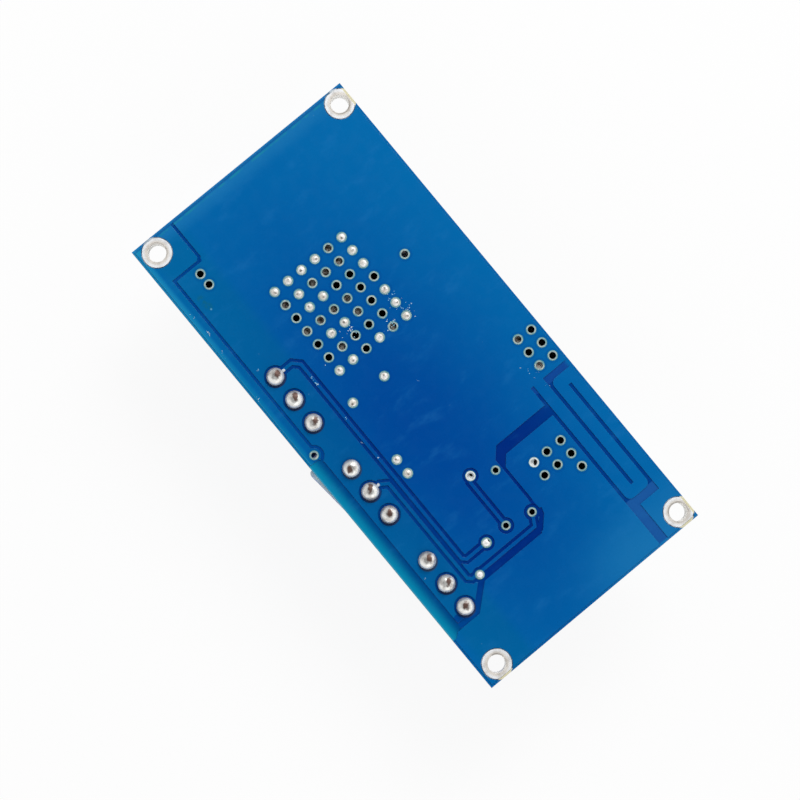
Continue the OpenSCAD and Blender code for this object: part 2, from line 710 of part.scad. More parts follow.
module trimmer_screw(i) {
  color("#c79a3d") trimmer_place(i) trimmer_screw_place() difference() {
    union() {
      translate([0, 0, -screw_seat]) cylinder(d = screw_d, h = screw_seat + screw_proud - 0.15);
      translate([0, 0, screw_proud - 0.15]) cylinder(d1 = screw_d, d2 = screw_d - 0.3, h = 0.15);
      translate([0, 0, -screw_seat - shank_l]) cylinder(d = shank_d, h = shank_l);
    }
    translate([-screw_d, -slot_w / 2, screw_proud - slot_depth]) cube([2 * screw_d, slot_w, 2]);
  }
}

module trimmer_1_housing() { trimmer_housing(0); }
module trimmer_1_resin() { trimmer_resin(0); }
module trimmer_1_pins() { trimmer_pins(0); }
module trimmer_1_screw() { trimmer_screw(0); }
module trimmer_2_housing() { trimmer_housing(1); }
module trimmer_2_resin() { trimmer_resin(1); }
module trimmer_2_pins() { trimmer_pins(1); }
module trimmer_2_screw() { trimmer_screw(1); }
module trimmer_3_housing() { trimmer_housing(2); }
module trimmer_3_resin() { trimmer_resin(2); }
module trimmer_3_pins() { trimmer_pins(2); }
module trimmer_3_screw() { trimmer_screw(2); }

// The regulator: its own +Y is the tab's end, and its leads run towards -Y
module regulator_body() {
  side = reg_body_l / 2;
  color("#26282b") on_back(reg_x, reg_y) translate([0, 0, plate_t]) difference() {
    along_x(reg_w) polygon([
      [-side, 0.1], [-side, reg_lead_z + reg_lead_t / 2 + 0.15], [-side + 0.35, reg_h],
      [side - 1, reg_h], [side - 0.1, tab_t + 0.1], [side - 0.1, 0.1]
    ]);
    regulator_tab_shape();
    translate([-reg_w / 4, 0, reg_h - 0.1]) cylinder(d = 1.6, h = 1);
  }
}

// The tab, with the half-round notches in its sides
module regulator_tab_shape() {
  linear_extrude(tab_t) difference() {
    rect(-tab_w / 2, tab_back, tab_w / 2, tab_front);
    for (s = [-1, 1]) disc([s * tab_w / 2, tab_front - tab_out / 2], 0.7);
  }
}

module regulator_tab() {
  color("#c8cbcd") on_back(reg_x, reg_y) translate([0, 0, plate_t]) regulator_tab_shape();
}

// A lead bent down from height z to the pads: out is its straight start, foot its flat end
function gull(z, out, reach, foot, t) = [[0, z], [out, z], [reach - foot, t / 2], [reach, t / 2]];

module regulator_leads() {
  path = gull(reg_lead_z, 1, reg_lead_reach, reg_foot, reg_lead_t);
  color("#c8cbcd") on_back(reg_x, reg_y, 180) for (k = [-2:2])
    translate([k * reg_pitch, reg_body_l / 2, plate_t])
      along_x(reg_lead_w) strip(path, reg_lead_t);
}

// The inductor: a base plate with two clips, a drum core with its winding, and a shield
module inductor_place() {
  on_back(ind_x, ind_y) translate([0, 0, plate_t]) children();
}

module shield_outline() {
  c = ind_w / 2 - shield_chamfer;
  polygon([
    [-c, -ind_w / 2], [c, -ind_w / 2], [ind_w / 2, -c], [ind_w / 2, c],
    [c, ind_w / 2], [-c, ind_w / 2], [-ind_w / 2, c], [-ind_w / 2, -c]
  ]);
}

module inductor_terminal_shapes() {
  t = ind_term_t;
  top = ind_base_t + 1.6;
  for (s = [0, 180]) rotate([0, 0, s]) along_x(ind_term_w)
    translate([ind_w / 2, 0]) polygon([
      [-ind_term_l, 0], [t, 0], [t, top], [0, top], [0, t], [-ind_term_l, t]
    ]);
}

module inductor_terminals() {
  color("#cfd2d3") inductor_place() inductor_terminal_shapes();
}

module inductor_base() {
  color("#2b2a29") inductor_place() difference() {
    linear_extrude(ind_base_t) shield_outline();
    inductor_terminal_shapes();
  }
}

module inductor_drum() {
  top = ind_h - ind_base_t;
  color("#3c3c3e") inductor_place() translate([0, 0, ind_base_t]) {
    cylinder(d = drum_d, h = drum_flange_t);
    cylinder(d = drum_post_d, h = top);
    translate([0, 0, top - drum_flange_t - 0.1]) cylinder(d = drum_d, h = drum_flange_t);
  }
}

module inductor_winding() {
  h = ind_h - ind_base_t - 2 * drum_flange_t - 0.1;
  turns = 5;
  wire = h / turns;
  color("#a4562a") inductor_place() translate([0, 0, ind_base_t + drum_flange_t])
    rotate_extrude() {
      rect(drum_post_d / 2, 0, drum_d / 2 - wire / 2 - 0.1, h);
      for (k = [0:turns - 1]) disc([drum_d / 2 - wire / 2 - 0.1, (k + 0.5) * wire], wire);
    }
}

module inductor_shield() {
  color("#4a4b4d") inductor_place() translate([0, 0, ind_base_t]) difference() {
    linear_extrude(ind_h - ind_base_t) difference() {
      shield_outline();
      circle(d = drum_d + 2 * drum_gap);
    }
    // The shallow step that leaves room for the clips
    for (s = [-1, 1])
      translate([-ind_term_w / 2 - 0.3, s * (ind_w / 2) - 0.1, ind_h - ind_base_t - 0.4])
        cube([ind_term_w + 0.6, 0.2, 1]);
  }
}

// An electrolytic capacitor: can, base and two flat terminals along its own X
module capacitor_can() {
  r = can_d / 2;
  bottom = cap_base_t - 0.5;
  edge = 0.5;
  color("#c4c7ca") translate([0, 0, plate_t]) rotate_extrude() difference() {
    union() {
      rect(0, bottom, r - edge, can_h);
      rect(0, bottom, r, can_h - edge);
      intersection() {
        disc([r - edge, can_h - edge], 2 * edge);
        rect(0, 0, r + 1, can_h + 1);
      }
    }
    disc([r + 0.25, bottom + 1.5], 2 * (can_bead + 0.25));
    rect(-1, can_h - 0.12, r - 1.1, can_h + 1);
  }
}

module capacitor_terminal_shapes() {
  for (s = [-1, 1]) translate([s > 0 ? 1 : -cap_base_w / 2 - cap_term_out, -cap_term_w / 2, 0])
    cube([cap_base_w / 2 + cap_term_out - 1, cap_term_w, 0.25]);
}

module capacitor_terminals() {
  color("#cfd2d3") translate([0, 0, plate_t]) capacitor_terminal_shapes();
}

// The base, with two cut corners at the positive end and a round seat for the can
module capacitor_base() {
  h = cap_base_w / 2;
  cut = 1.6;
  color("#1c1d1f") translate([0, 0, plate_t]) difference() {
    linear_extrude(cap_base_t)
      polygon([[-h, -h], [h - cut, -h], [h, cut - h], [h, h - cut], [h - cut, h], [-h, h]]);
    translate([0, 0, cap_base_t - 0.5]) cylinder(d = can_d, h = 1);
    capacitor_terminal_shapes();
  }
}

module input_capacitor_can() { on_back(in_cap_x, in_cap_y, 90) capacitor_can(); }
module input_capacitor_base() { on_back(in_cap_x, in_cap_y, 90) capacitor_base(); }
module input_capacitor_terminals() { on_back(in_cap_x, in_cap_y, 90) capacitor_terminals(); }
module output_capacitor_can() { on_back(out_cap_x, out_cap_y) capacitor_can(); }
module output_capacitor_base() { on_back(out_cap_x, out_cap_y) capacitor_base(); }
module output_capacitor_terminals() { on_back(out_cap_x, out_cap_y) capacitor_terminals(); }

// The power diode, with terminals folded under its ends
module diode_place() {
  on_back(diode_x, diode_y) translate([0, 0, plate_t]) children();
}

module diode_terminal_shapes() {
  t = 0.2;
  mid = diode_h / 2;
  for (s = [90, -90]) rotate([0, 0, s]) translate([0, -diode_l / 2, 0]) rotate([0, 0, 180])
    along_x(diode_term_w)
      strip([[0, mid], [diode_out, mid], [diode_out, t / 2], [-diode_foot, t / 2]], t);
}

module diode_terminals() {
  color("#cfd2d3") diode_place() diode_terminal_shapes();
}

module diode_body() {
  slope = 0.2;
  color("#232426") diode_place() difference() {
    rotate([0, 0, 90]) along_x(diode_w) polygon([
      [-diode_l / 2 + slope, 0.08], [-diode_l / 2, 0.6], [-diode_l / 2, diode_h / 2 + 0.15],
      [-diode_l / 2 + slope, diode_h], [diode_l / 2 - slope, diode_h],
      [diode_l / 2, diode_h / 2 + 0.15], [diode_l / 2, 0.6], [diode_l / 2 - slope, 0.08]
    ]);
    diode_terminal_shapes();
  }
}

// The glass diode, lying between its two caps
module glass_diode_place() {
  on_back(glass_x, strip_y) translate([0, 0, plate_t + glass_d / 2 + 0.05]) rotate([0, 90, 0])
    children();
}

module glass_diode_body() {
  color("#b4683a") glass_diode_place()
    cylinder(d = glass_d, h = glass_l - 2 * glass_cap_l, center = true);
}

module glass_diode_caps() {
  color("#cfd2d3") glass_diode_place() for (s = [-1, 1])
    translate([0, 0, s * (glass_l - glass_cap_l) / 2])
      cylinder(d = glass_d + 0.1, h = glass_cap_l, center = true);
}

// The eight-lead amplifier
module amplifier_body() {
  side = amp_w / 2;
  mid = amp_h / 2;
  color("#232426") on_back(amp_x, amp_y) translate([0, 0, plate_t]) difference() {
    along_x(amp_l) polygon([
      [-side + 0.1, 0.15], [-side, mid - 0.15], [-side, mid + 0.15], [-side + 0.25, amp_h],
      [side - 0.25, amp_h], [side, mid + 0.15], [side, mid - 0.15], [side - 0.1, 0.15]
    ]);
    translate([-amp_l / 2 + 0.8, side - 0.9, amp_h - 0.06]) cylinder(d = 0.6, h = 1);
  }
}

module amplifier_leads() {
  t = 0.2;
  path = gull(amp_h / 2, 0.3, amp_reach, 0.5, t);
  color("#cfd2d3") for (s = [0, 180], k = [-1.5:1.5]) on_back(amp_x, amp_y, s)
    translate([k * amp_pitch, amp_w / 2, plate_t]) along_x(0.4) strip(path, t);
}

// The small regulator: three leads on one side, the tab on the other
module small_regulator_place() {
  on_back(ldo_x, ldo_y) translate([0, 0, plate_t]) children();
}

module small_regulator_lead_shapes() {
  linear_extrude(ldo_lead_t) {
    for (k = [-1:1]) translate([k * ldo_pitch, -ldo_w / 2])
      rect(-ldo_lead_w / 2, -ldo_reach, ldo_lead_w / 2, ldo_lead_in);
    rect(-ldo_tab_w / 2, -ldo_w / 2 + ldo_lead_in, ldo_tab_w / 2, ldo_w / 2 + ldo_tab_out);
  }
}

module small_regulator_leads() {
  color("#cfd2d3") small_regulator_place() small_regulator_lead_shapes();
}

module small_regulator_body() {
  side = ldo_w / 2;
  mid = ldo_lead_t + 0.3;
  slope = 0.2;
  color("#232426") small_regulator_place() difference() {
    along_x(ldo_l) polygon([
      [-side, 0.05], [-side, mid], [-side + slope, ldo_h], [side - slope, ldo_h],
      [side, mid], [side, 0.05]
    ]);
    small_regulator_lead_shapes();
  }
}

// Chip parts: a body between two soldered ends
module each_chip(places) {
  for (p = places) on_back(p[0], p[1], p[2]) translate([0, 0, plate_t]) children();
}

module chip_body(l, w, h, end) {
  translate([end - l / 2, -w / 2, chip_step]) cube([l - 2 * end, w, h - 2 * chip_step]);
}

module chip_ends(l, w, h, end) {
  for (s = [-1, 1]) translate([s * (l - end) / 2, 0, h / 2])
    cube([end, w + 2 * chip_step, h], center = true);
}

module resistor_bodies() {
  color("#2d2d30") each_chip(resistors) chip_body(res_l, res_w, res_h, res_end);
}

module resistor_ends() {
  color("#cfd2d3") each_chip(resistors) chip_ends(res_l, res_w, res_h, res_end);
}

module ceramic_capacitor_bodies() {
  color("#a5835c") each_chip(ceramic_capacitors) chip_body(chip_l, chip_w, chip_h, chip_end);
}

module ceramic_capacitor_ends() {
  color("#cfd2d3") each_chip(ceramic_capacitors) chip_ends(chip_l, chip_w, chip_h, chip_end);
}

module indicator_bases() {
  color("#e9e9e2") each_chip(indicators) chip_body(chip_l, chip_w, lamp_base_h, res_end);
}

module indicator_ends() {
  color("#d7b46a") each_chip(indicators) chip_ends(chip_l, chip_w - 2 * chip_step, lamp_base_h, res_end);
}

module indicator_lenses() {
  bottom = lamp_base_h - chip_step;
  side = chip_l / 2 - res_end - 0.05;
  slope = 0.15;
  color("#e8f0e0", 0.7) each_chip(indicators) rotate([0, 0, 90]) along_x(chip_w)
    polygon([[-side, bottom], [slope - side, lamp_h], [side - slope, lamp_h], [side, bottom]]);
}

// The tinned pads of the component side, each from the size of what stands on it
module pad(x, y, l, w) {
  translate([x - l / 2 - pad_margin, y - w / 2 - pad_margin, 0])
    cube([l + 2 * pad_margin, w + 2 * pad_margin, plate_t]);
}

module chip_pads(places, l, w, end) {
  for (p = places, s = [-1, 1]) on_back(p[0], p[1], p[2]) pad(s * (l - end) / 2, 0, end, w);
}

module component_pads() {
  color("#cdd0cf") {
    // The regulator's tab and leads
    on_back(reg_x, reg_y) pad(0, (tab_front + tab_back) / 2, tab_w, tab_front - tab_back);
    for (k = [-2:2]) on_back(reg_x, reg_y)
      pad(k * reg_pitch, -reg_body_l / 2 - reg_lead_reach + reg_foot / 2, reg_lead_w, reg_foot);
    for (s = [-1, 1]) {
      on_back(ind_x, ind_y)
        pad(0, s * (ind_w + ind_term_t - ind_term_l) / 2, ind_term_w, ind_term_l + ind_term_t);
      on_back(in_cap_x, in_cap_y, 90) pad(s * cap_pad_x, 0, cap_pad_l, cap_term_w);
      on_back(out_cap_x, out_cap_y) pad(s * cap_pad_x, 0, cap_pad_l, cap_term_w);
      on_back(diode_x, diode_y)
        pad(s * (diode_l + diode_out - diode_foot) / 2, 0, diode_out + diode_foot, diode_term_w);
      on_back(glass_x, strip_y) pad(s * (glass_l - glass_cap_l) / 2, 0, glass_cap_l, glass_d);
    }
    for (s = [0, 180], k = [-1.5:1.5]) on_back(amp_x, amp_y, s)
      pad(k * amp_pitch, amp_w / 2 + amp_reach - 0.25, 0.4, 0.5);
    for (k = [-1:1]) on_back(ldo_x, ldo_y)
      pad(k * ldo_pitch, -(ldo_w + ldo_reach) / 2, ldo_lead_w, ldo_reach);
    on_back(ldo_x, ldo_y) pad(0, ldo_w / 2 + ldo_tab_out - 0.8, ldo_tab_w, 1.6);
    chip_pads(resistors, res_l, res_w, res_end);
    chip_pads(ceramic_capacitors, chip_l, chip_w, chip_end);
    chip_pads(indicators, chip_l, chip_w, res_end);
  }
}

board();
corner_pads();
thermal_vias();
signal_vias();
via_solder();
pin_pads();
pin_solder();
component_pads();
trimmer_1_housing();
trimmer_1_resin();
trimmer_1_pins();
trimmer_1_screw();
trimmer_2_housing();
trimmer_2_resin();
trimmer_2_pins();
trimmer_2_screw();
trimmer_3_housing();
trimmer_3_resin();
trimmer_3_pins();
trimmer_3_screw();
regulator_body();
regulator_tab();
regulator_leads();
inductor_base();
inductor_terminals();
inductor_drum();
inductor_winding();
inductor_shield();
input_capacitor_can();
input_capacitor_base();
input_capacitor_terminals();
output_capacitor_can();
output_capacitor_base();
output_capacitor_terminals();
diode_body();
diode_terminals();
glass_diode_body();
glass_diode_caps();
amplifier_body();
amplifier_leads();
small_regulator_body();
small_regulator_leads();
resistor_bodies();
resistor_ends();
ceramic_capacitor_bodies();
ceramic_capacitor_ends();
indicator_bases();
indicator_ends();
indicator_lenses();
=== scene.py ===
"""The looks of the step-down converter module: finishes, solder, flux marks, light and camera."""
import json
import math
import random
from collections import namedtuple

import bmesh
import bpy
from mathutils import Matrix, Vector


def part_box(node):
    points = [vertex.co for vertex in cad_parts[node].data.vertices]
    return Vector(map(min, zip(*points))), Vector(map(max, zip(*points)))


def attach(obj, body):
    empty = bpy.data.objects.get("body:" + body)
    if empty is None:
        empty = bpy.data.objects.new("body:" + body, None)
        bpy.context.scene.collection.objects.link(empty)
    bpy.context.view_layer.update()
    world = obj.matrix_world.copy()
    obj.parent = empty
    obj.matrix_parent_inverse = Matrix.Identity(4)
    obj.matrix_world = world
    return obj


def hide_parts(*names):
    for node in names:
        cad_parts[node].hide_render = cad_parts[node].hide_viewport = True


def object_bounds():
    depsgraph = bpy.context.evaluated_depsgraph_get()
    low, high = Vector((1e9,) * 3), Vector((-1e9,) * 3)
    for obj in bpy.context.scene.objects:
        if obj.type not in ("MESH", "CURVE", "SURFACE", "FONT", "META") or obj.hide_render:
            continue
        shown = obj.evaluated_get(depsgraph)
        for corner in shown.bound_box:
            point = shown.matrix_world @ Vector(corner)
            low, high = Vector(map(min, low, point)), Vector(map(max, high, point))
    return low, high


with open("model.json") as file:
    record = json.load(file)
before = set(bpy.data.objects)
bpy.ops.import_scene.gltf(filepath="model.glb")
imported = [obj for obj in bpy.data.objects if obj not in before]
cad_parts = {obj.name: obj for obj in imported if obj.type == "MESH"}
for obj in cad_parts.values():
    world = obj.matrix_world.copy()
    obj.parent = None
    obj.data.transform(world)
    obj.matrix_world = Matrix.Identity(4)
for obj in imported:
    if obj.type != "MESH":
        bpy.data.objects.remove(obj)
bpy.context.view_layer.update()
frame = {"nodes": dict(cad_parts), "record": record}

MM = 0.001

# From the frame, in millimetres: the board's box, and how far the corner holes lie from the middle
board_low, board_high = (Vector(corner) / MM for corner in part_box("board"))
hole_mount = frame["record"]["mounts"][0]["dims"]
hole_at = Vector((hole_mount["spacing_x_mm"] / 2, hole_mount["spacing_y_mm"] / 2))

# The camera stands over the solder face, in metres in the module's frame
CAMERA_AT = Vector((0.0031, -0.0132, 0.200))
CAMERA_AIM = Vector((0.00017, -0.00213, 0))
CAMERA_UP = Vector((-0.770, 0.636, 0.046))
SENSOR_MM = 36
LENS_MM = 105.67

# The camera shows nothing nearer than this, in metres
NEAREST_SEEN = 0.01

# How bright the surroundings are as a light on the module, where 1 is white
WORLD_LEVEL = 0.85

# The surroundings are black overhead to the first angle from straight up, and white past the second
BLACK_TO = math.radians(24)
WHITE_FROM = math.radians(45)

# The lamps: place and size in metres, and power in watts
KEY_LAMP = ((-0.149, 0.258, 0.297), 0.2, 0.95)
FILL_LAMP = ((0.3, -0.1, 0.25), 0.3, 0.15)

# The floor: half its side and its distance below the module in metres, its own white, and the
# share of plain white that no shadow darkens
FLOOR_HALF = 3.0
FLOOR_GAP = 0.01 * MM
FLOOR_WHITE = 0.93
FLOOR_GLOW = 0.9

# All lengths from here on are millimetres, unless their comment says otherwise

# Levels in the board: between copper and bare gap, under the gaps, over the back
GAP_PLANE = -0.03
FACE_PLANE = -0.1
BACK_PLANE = -1.55

# Where the solder mask looks deepest, and how fast it grows paler along and across the board
DEEPEST = (3.65, -2.51, 0)
PALER_ALONG = (0.0447, -0.0056, 0)
PALER_ACROSS = (0, 0.0936, 0)

# The mask over copper is a little more teal round the pins, from y to y
PIN_ROW = (-10.4, -7.6)

# The bare strip along the trimmer edge, from x to x
NEAR_STRIP = (-0.35, 18.85)

# The gaps beside the shunt: wide short of the first x and past the second, from this y up
SHUNT_GAPS = (7.2, 19.3)
SHUNT_LOW = 7.0

# A tint that ends at a line fades out over this length
SHARP = 0.1

# The corner rings' outer diameter, and the width of the opening in the mask round each
RING_D = 2.56
OPENING_W = 0.1

# The width of the bare strip along the board's edges, and how much past it still looks as it does
EDGE_STRIP = 0.2
STRIP_SLACK = 0.04

# Solder on a pin: foot radius, height over the face, radius of the plug in the hole
DOME_R = 0.765
DOME_H = 0.7
PLUG_R = 0.42

# Powers under 1 make a dome's sides and crown fuller than an ellipse
DOME_SIDES = 0.85
DOME_CROWN = 0.9

# Points round a dome and steps up it
DOME_TURNS = 48
DOME_STEPS = 16

# A dome's outline swells in waves: how many, each one's least and most share of the radius, and
# the height from which they are whole
WAVES = 3
SWELL = (0.006, 0.02)
SWELL_FULL = 0.2

# The brown mark on each pin's solder: its centre from the pin's, in the order of the pins along X
TIP_MARKS = (
    (-0.04, 0.31), (-0.12, 0.21), (0, 0.21), (-0.01, -0.15), (-0.2, 0.16), (-0.08, 0.12),
    (-0.08, 0.24), (0, 0.26), (-0.05, 0.09),
)

# A mark's length and width: the direction of each, divided by half its measure
MARK_LENGTH = Vector((0.77, -0.64, 0)) / 0.3
MARK_WIDTH = Vector((0.64, 0.77, 0)) / 0.2

# The centre of each dome's painted shade, from the pin's centre
SHADED_SIDE = (-0.55, 0.1)

# Bare ground that the photograph shows wider than it is cut: a line, and half the ground's width
WIDER_GAPS = (
    ((13.8, 1.0), (14.6, 1.0), 0.13), ((17.6, -9.3), (17.65, -10.2), 0.36),
    ((-20.05, -7.68), (-19.88, -7.68), 0.14), ((-19.88, -7.68), (-19.88, -7.85), 0.14),
)

# A faint stain of flux near the input corner, from point to point, and a pale spot at its end
STAIN = ((-17.3, -9.75), (-16.3, -9.6))
STAIN_SPOT = (-16.05, -9.6)

# Solder that ran a little way onto the traces at two pins
SPILLS = ((-8.08, -8.2), (4.55, -8.2))

# Vias that the solder fills to below the face, and the radius that takes in the pale barrel of each
HALF_VIAS = ((11.56, 3.3), (8.99, -1.63))
HALF_VIA_R = 0.5

# Past this x the vias' solder is plain white, and short of it each has a small dark spot
WHITE_SOLDER_X = 8.5

# Short of this x, solder below the face is grey-brown
DRAINED_X = 5

# A dark spot's distance from its via's centre, and its turn in radians from one via to the next
SPOT_OUT = 0.11
SPOT_TURN = 2.4

# Hollows in the solder of three vias, painted near black as their shade: place, direction, half the
# length, half the width
HOLLOWS = (
    ((11.65, 3.41), (0.77, -0.64), 0.3, 0.16), ((8.96, -1.53), (0.91, 0.41), 0.17, 0.1),
    ((14.2, -3.92), (1, 0), 0.19, 0.1),
)

# Dried flux on the solder face: centre, spread along X and Y, how many flakes, largest radius
FLUX = (
    ((-6.7, 3.0), (0.8, 0.7), 26, 0.06), ((-5.3, 3.3), (0.6, 0.6), 18, 0.06),
    ((-5.3, 1.4), (0.7, 0.6), 20, 0.06), ((-7.0, -1.6), (0.6, 0.6), 16, 0.06),
    ((-7.6, -2.4), (0.1, 0.08), 2, 0.07), ((5.8, 8.3), (0.35, 0.4), 4, 0.04),
    ((5.25, 8.05), (0.25, 0.3), 3, 0.05), ((7.2, 8.4), (0.2, 0.2), 2, 0.04),
    ((4.6, 7.5), (0.12, 0.08), 3, 0.06), ((-16.3, -11.25), (0.4, 0.12), 4, 0.035),
    ((-14.7, -11.1), (0.25, 0.1), 9, 0.055), ((-12.6, -11.3), (0.5, 0.12), 4, 0.04),
    ((-9.5, -9.85), (0.12, 0.1), 3, 0.06), ((-7.6, -11.35), (0.4, 0.1), 4, 0.06),
    ((-6.0, -6.75), (0.35, 0.08), 7, 0.06), ((-5.4, -6.7), (0.2, 0.08), 5, 0.07),
    ((-1.5, -6.68), (0.15, 0.05), 3, 0.06), ((0.9, -6.95), (0.12, 0.05), 2, 0.05),
    ((2.7, -6.72), (0.12, 0.05), 3, 0.05), ((-6.15, -5.2), (0.1, 0.1), 2, 0.06),
    ((0, 0.1), (0.12, 0.1), 2, 0.05), ((13.3, -10.15), (0.1, 0.1), 2, 0.06),
)

# A flake of flux: thickness, fewest and most corners, least share of its group's largest radius,
# and how far a corner may lie from the centre, as shares of the flake's own radius
FLAKE_T = 0.012
FLAKE_CORNERS = (6, 9)
FLAKE_LEAST = 0.35
FLAKE_RAGGED = (0.55, 1.25)

# The seeds of the random draws for the domes and for the flakes
DOME_SEED = 7
FLAKE_SEED = 11

# Nearly all of a noise lies between these values
NOISE_RANGE = (0.3, 0.7)

# Points of a mesh nearer than this, in metres, are one
SAME_POINT = 1e-7

# One separate solid of a CAD node: its centre, and its box's lowest and highest corner
Island = namedtuple("Island", "centre low high")


def colour(text):
    """A colour written as #rrggbb, as linear red, green, blue and alpha from 0 to 1."""
    linear = []
    for at in (1, 3, 5):
        part = int(text[at:at + 2], 16) / 255
        linear.append(part / 12.92 if part <= 0.04045 else ((part + 0.055) / 1.055) ** 2.4)
    return linear + [1]


class Nodes:
    """Short calls that add nodes to one shader tree."""

    def __init__(self, tree):
        self.tree = tree

    def node(self, kind, **settings):
        """A new node of that kind, with its settings."""
        node = self.tree.nodes.new("ShaderNode" + kind)
        for key, value in settings.items():
            setattr(node, key, value)
        return node

    def put(self, socket, value):
        """Links a socket to another node's output, or sets it to a plain value."""
        if isinstance(value, bpy.types.NodeSocket):
            self.tree.links.new(value, socket)
        else:
            socket.default_value = value

    def math(self, operation, first, second=0.0, clamp=False):
        node = self.node("Math", operation=operation, use_clamp=clamp)
        self.put(node.inputs[0], first)
        self.put(node.inputs[1], second)
        return node.outputs[0]

    def axes(self, value):
        node = self.node("SeparateXYZ")
        self.put(node.inputs[0], value)
        return node.outputs[0], node.outputs[1], node.outputs[2]

    def ramp(self, value, start, end, low=0.0, high=1.0):
        """A smooth change from low to high as value goes from start to end."""
        node = self.node("MapRange", interpolation_type="SMOOTHSTEP")
        falling = end < start
        self.put(node.inputs["Value"], value)
        self.put(node.inputs["From Min"], end if falling else start)
        self.put(node.inputs["From Max"], start if falling else end)
        self.put(node.inputs["To Min"], high if falling else low)
        self.put(node.inputs["To Max"], low if falling else high)
        return node.outputs["Result"]

    def fold(self, operation, values):
        """Joins any number of values by one operation, such as MINIMUM."""
        total = values[0]
        for value in values[1:]:
            total = self.math(operation, total, value)
        return total

    def times(self, *values):
        """The values multiplied, which for masks is 1 only where each of them is."""
        return self.fold("MULTIPLY", values)


class Finish(Nodes):
    """One material of the module. Lengths in its nodes are millimetres in the module's frame."""

    def __init__(self, name, **uniform):
        self.material = bpy.data.materials.new(name)
        self.material.use_nodes = True
        super().__init__(self.material.node_tree)
        self.shader = self.tree.nodes["Principled BSDF"]
        for key, value in uniform.items():
            self.shader.inputs[key.replace("_", " ")].default_value = value
        coords = self.node("TexCoord")
        self.facing = coords.outputs["Normal"]
        self.place = self.vector("MULTIPLY", coords.outputs["Object"], (1 / MM,) * 3)
        self.x, self.y, self.z = self.axes(self.place)
        self.flat = self.join(self.x, self.y)

    def vector(self, operation, first, second=(0, 0, 0)):
        node = self.node("VectorMath", operation=operation)
        self.put(node.inputs[0], first)
        self.put(node.inputs[1], second)
        gives_number = operation in ("LENGTH", "DOT_PRODUCT", "DISTANCE")
        return node.outputs["Value" if gives_number else "Vector"]

    def join(self, x, y, z=0.0):
        node = self.node("CombineXYZ")
        for socket, value in zip(node.inputs, (x, y, z)):
            self.put(socket, value)
        return node.outputs[0]

    def stretched(self, x, y, z):
        """The place, scaled along each axis, for a pattern that runs along one of them."""
        return self.vector("MULTIPLY", self.place, (x, y, z))

    def above(self, value, limit):
        """1 where value is above limit, 0 elsewhere."""
        return self.math("GREATER_THAN", value, limit)

    def below(self, value, limit):
        """1 where value is below limit, 0 elsewhere."""
        return self.math("LESS_THAN", value, limit)

    def band(self, value, low, high, soft):
        """1 where value lies from low to high, fading out over soft beyond them."""
        return self.times(self.ramp(value, low - soft, low), self.ramp(value, high + soft, high))

    def away(self, x, y):
        """Distance in the board's plane to a point."""
        return self.vector("DISTANCE", self.flat, (x, y, 0))

    def away_from_line(self, start, end):
        """Distance in the board's plane to the line from start to end."""
        run = Vector((end[0] - start[0], end[1] - start[1], 0))
        offset = self.vector("SUBTRACT", self.flat, (start[0], start[1], 0))
        along = self.vector("DOT_PRODUCT", offset, run)
        share = self.math("DIVIDE", along, run.length_squared, clamp=True)
        nearest = self.vector("MULTIPLY", self.join(share, share), run)
        return self.vector("DISTANCE", offset, nearest)

    def away_from_ellipse(self, centre, length, width):
        """1 on an ellipse's edge and 0 at its centre. Its axes are directions over half lengths."""
        offset = self.vector("SUBTRACT", self.flat, (centre[0], centre[1], 0))
        along = self.vector("DOT_PRODUCT", offset, length)
        across = self.vector("DOT_PRODUCT", offset, width)
        return self.vector("LENGTH", self.join(along, across))

    def away_from_hole(self):
        """Distance in the board's plane to the nearest corner hole's axis."""
        along = self.math("SUBTRACT", self.math("ABSOLUTE", self.x), hole_at.x)
        across = self.math("SUBTRACT", self.math("ABSOLUTE", self.y), hole_at.y)
        return self.vector("LENGTH", self.join(along, across))

    def mix(self, factor, first, second):
        """The first colour where factor is 0, the second where it is 1."""
        node = self.node("Mix", data_type="RGBA")
        self.put(node.inputs["Factor"], factor)
        # The node has its sockets for numbers and vectors too: these are the ones for colours
        for socket, value in ((node.inputs[6], first), (node.inputs[7], second)):
            self.put(socket, colour(value) if isinstance(value, str) else value)
        return node.outputs[2]

    def over(self, base, mask, paint, share=1.0):
        """The base, with that share of the paint laid over it where mask is 1."""
        return self.mix(mask if share == 1.0 else self.times(mask, share), base, paint)

    def noise(self, scale, detail=2.0, rough=0.5, at=None):
        """Smooth noise about 0.5, with scale features to the millimetre."""
        node = self.node("TexNoise")
        self.put(node.inputs["Vector"], self.place if at is None else at)
        self.put(node.inputs["Scale"], scale)
        self.put(node.inputs["Detail"], detail)
        self.put(node.inputs["Roughness"], rough)
        return node.outputs["Fac"]

    def patches(self, scale, detail, low, high, rough=0.5):
        """Patches of noise: 0 where it is under low, 1 where it is over high."""
        return self.ramp(self.noise(scale, detail, rough), low, high)

    def wander(self, noise, least, most):
        """A noise spread over the range from least to most."""
        return self.ramp(noise, *NOISE_RANGE, least, most)

    def swing(self, noise, depth):
        """A noise about 0, which spans depth."""
        return self.times(self.math("SUBTRACT", noise, 0.5), depth)

    def cells(self, scale):
        """Distance to the nearest of scattered points, and a random colour for each point."""
        node = self.node("TexVoronoi")
        self.put(node.inputs["Vector"], self.place)
        self.put(node.inputs["Scale"], scale)
        return node.outputs["Distance"], node.outputs["Color"]

    def specks(self, scale, outer, inner, least):
        """1 within inner and 0 past outer of the points whose random value is above least."""
        distance, kind = self.cells(scale)
        return self.times(self.ramp(distance, outer, inner), self.above(kind, least))

    def round_edges(self, radius):
        """The surface's normal, rounded over its edges by radius millimetres."""
        node = self.node("Bevel", samples=4)
        self.put(node.inputs["Radius"], radius * MM)
        return node.outputs["Normal"]

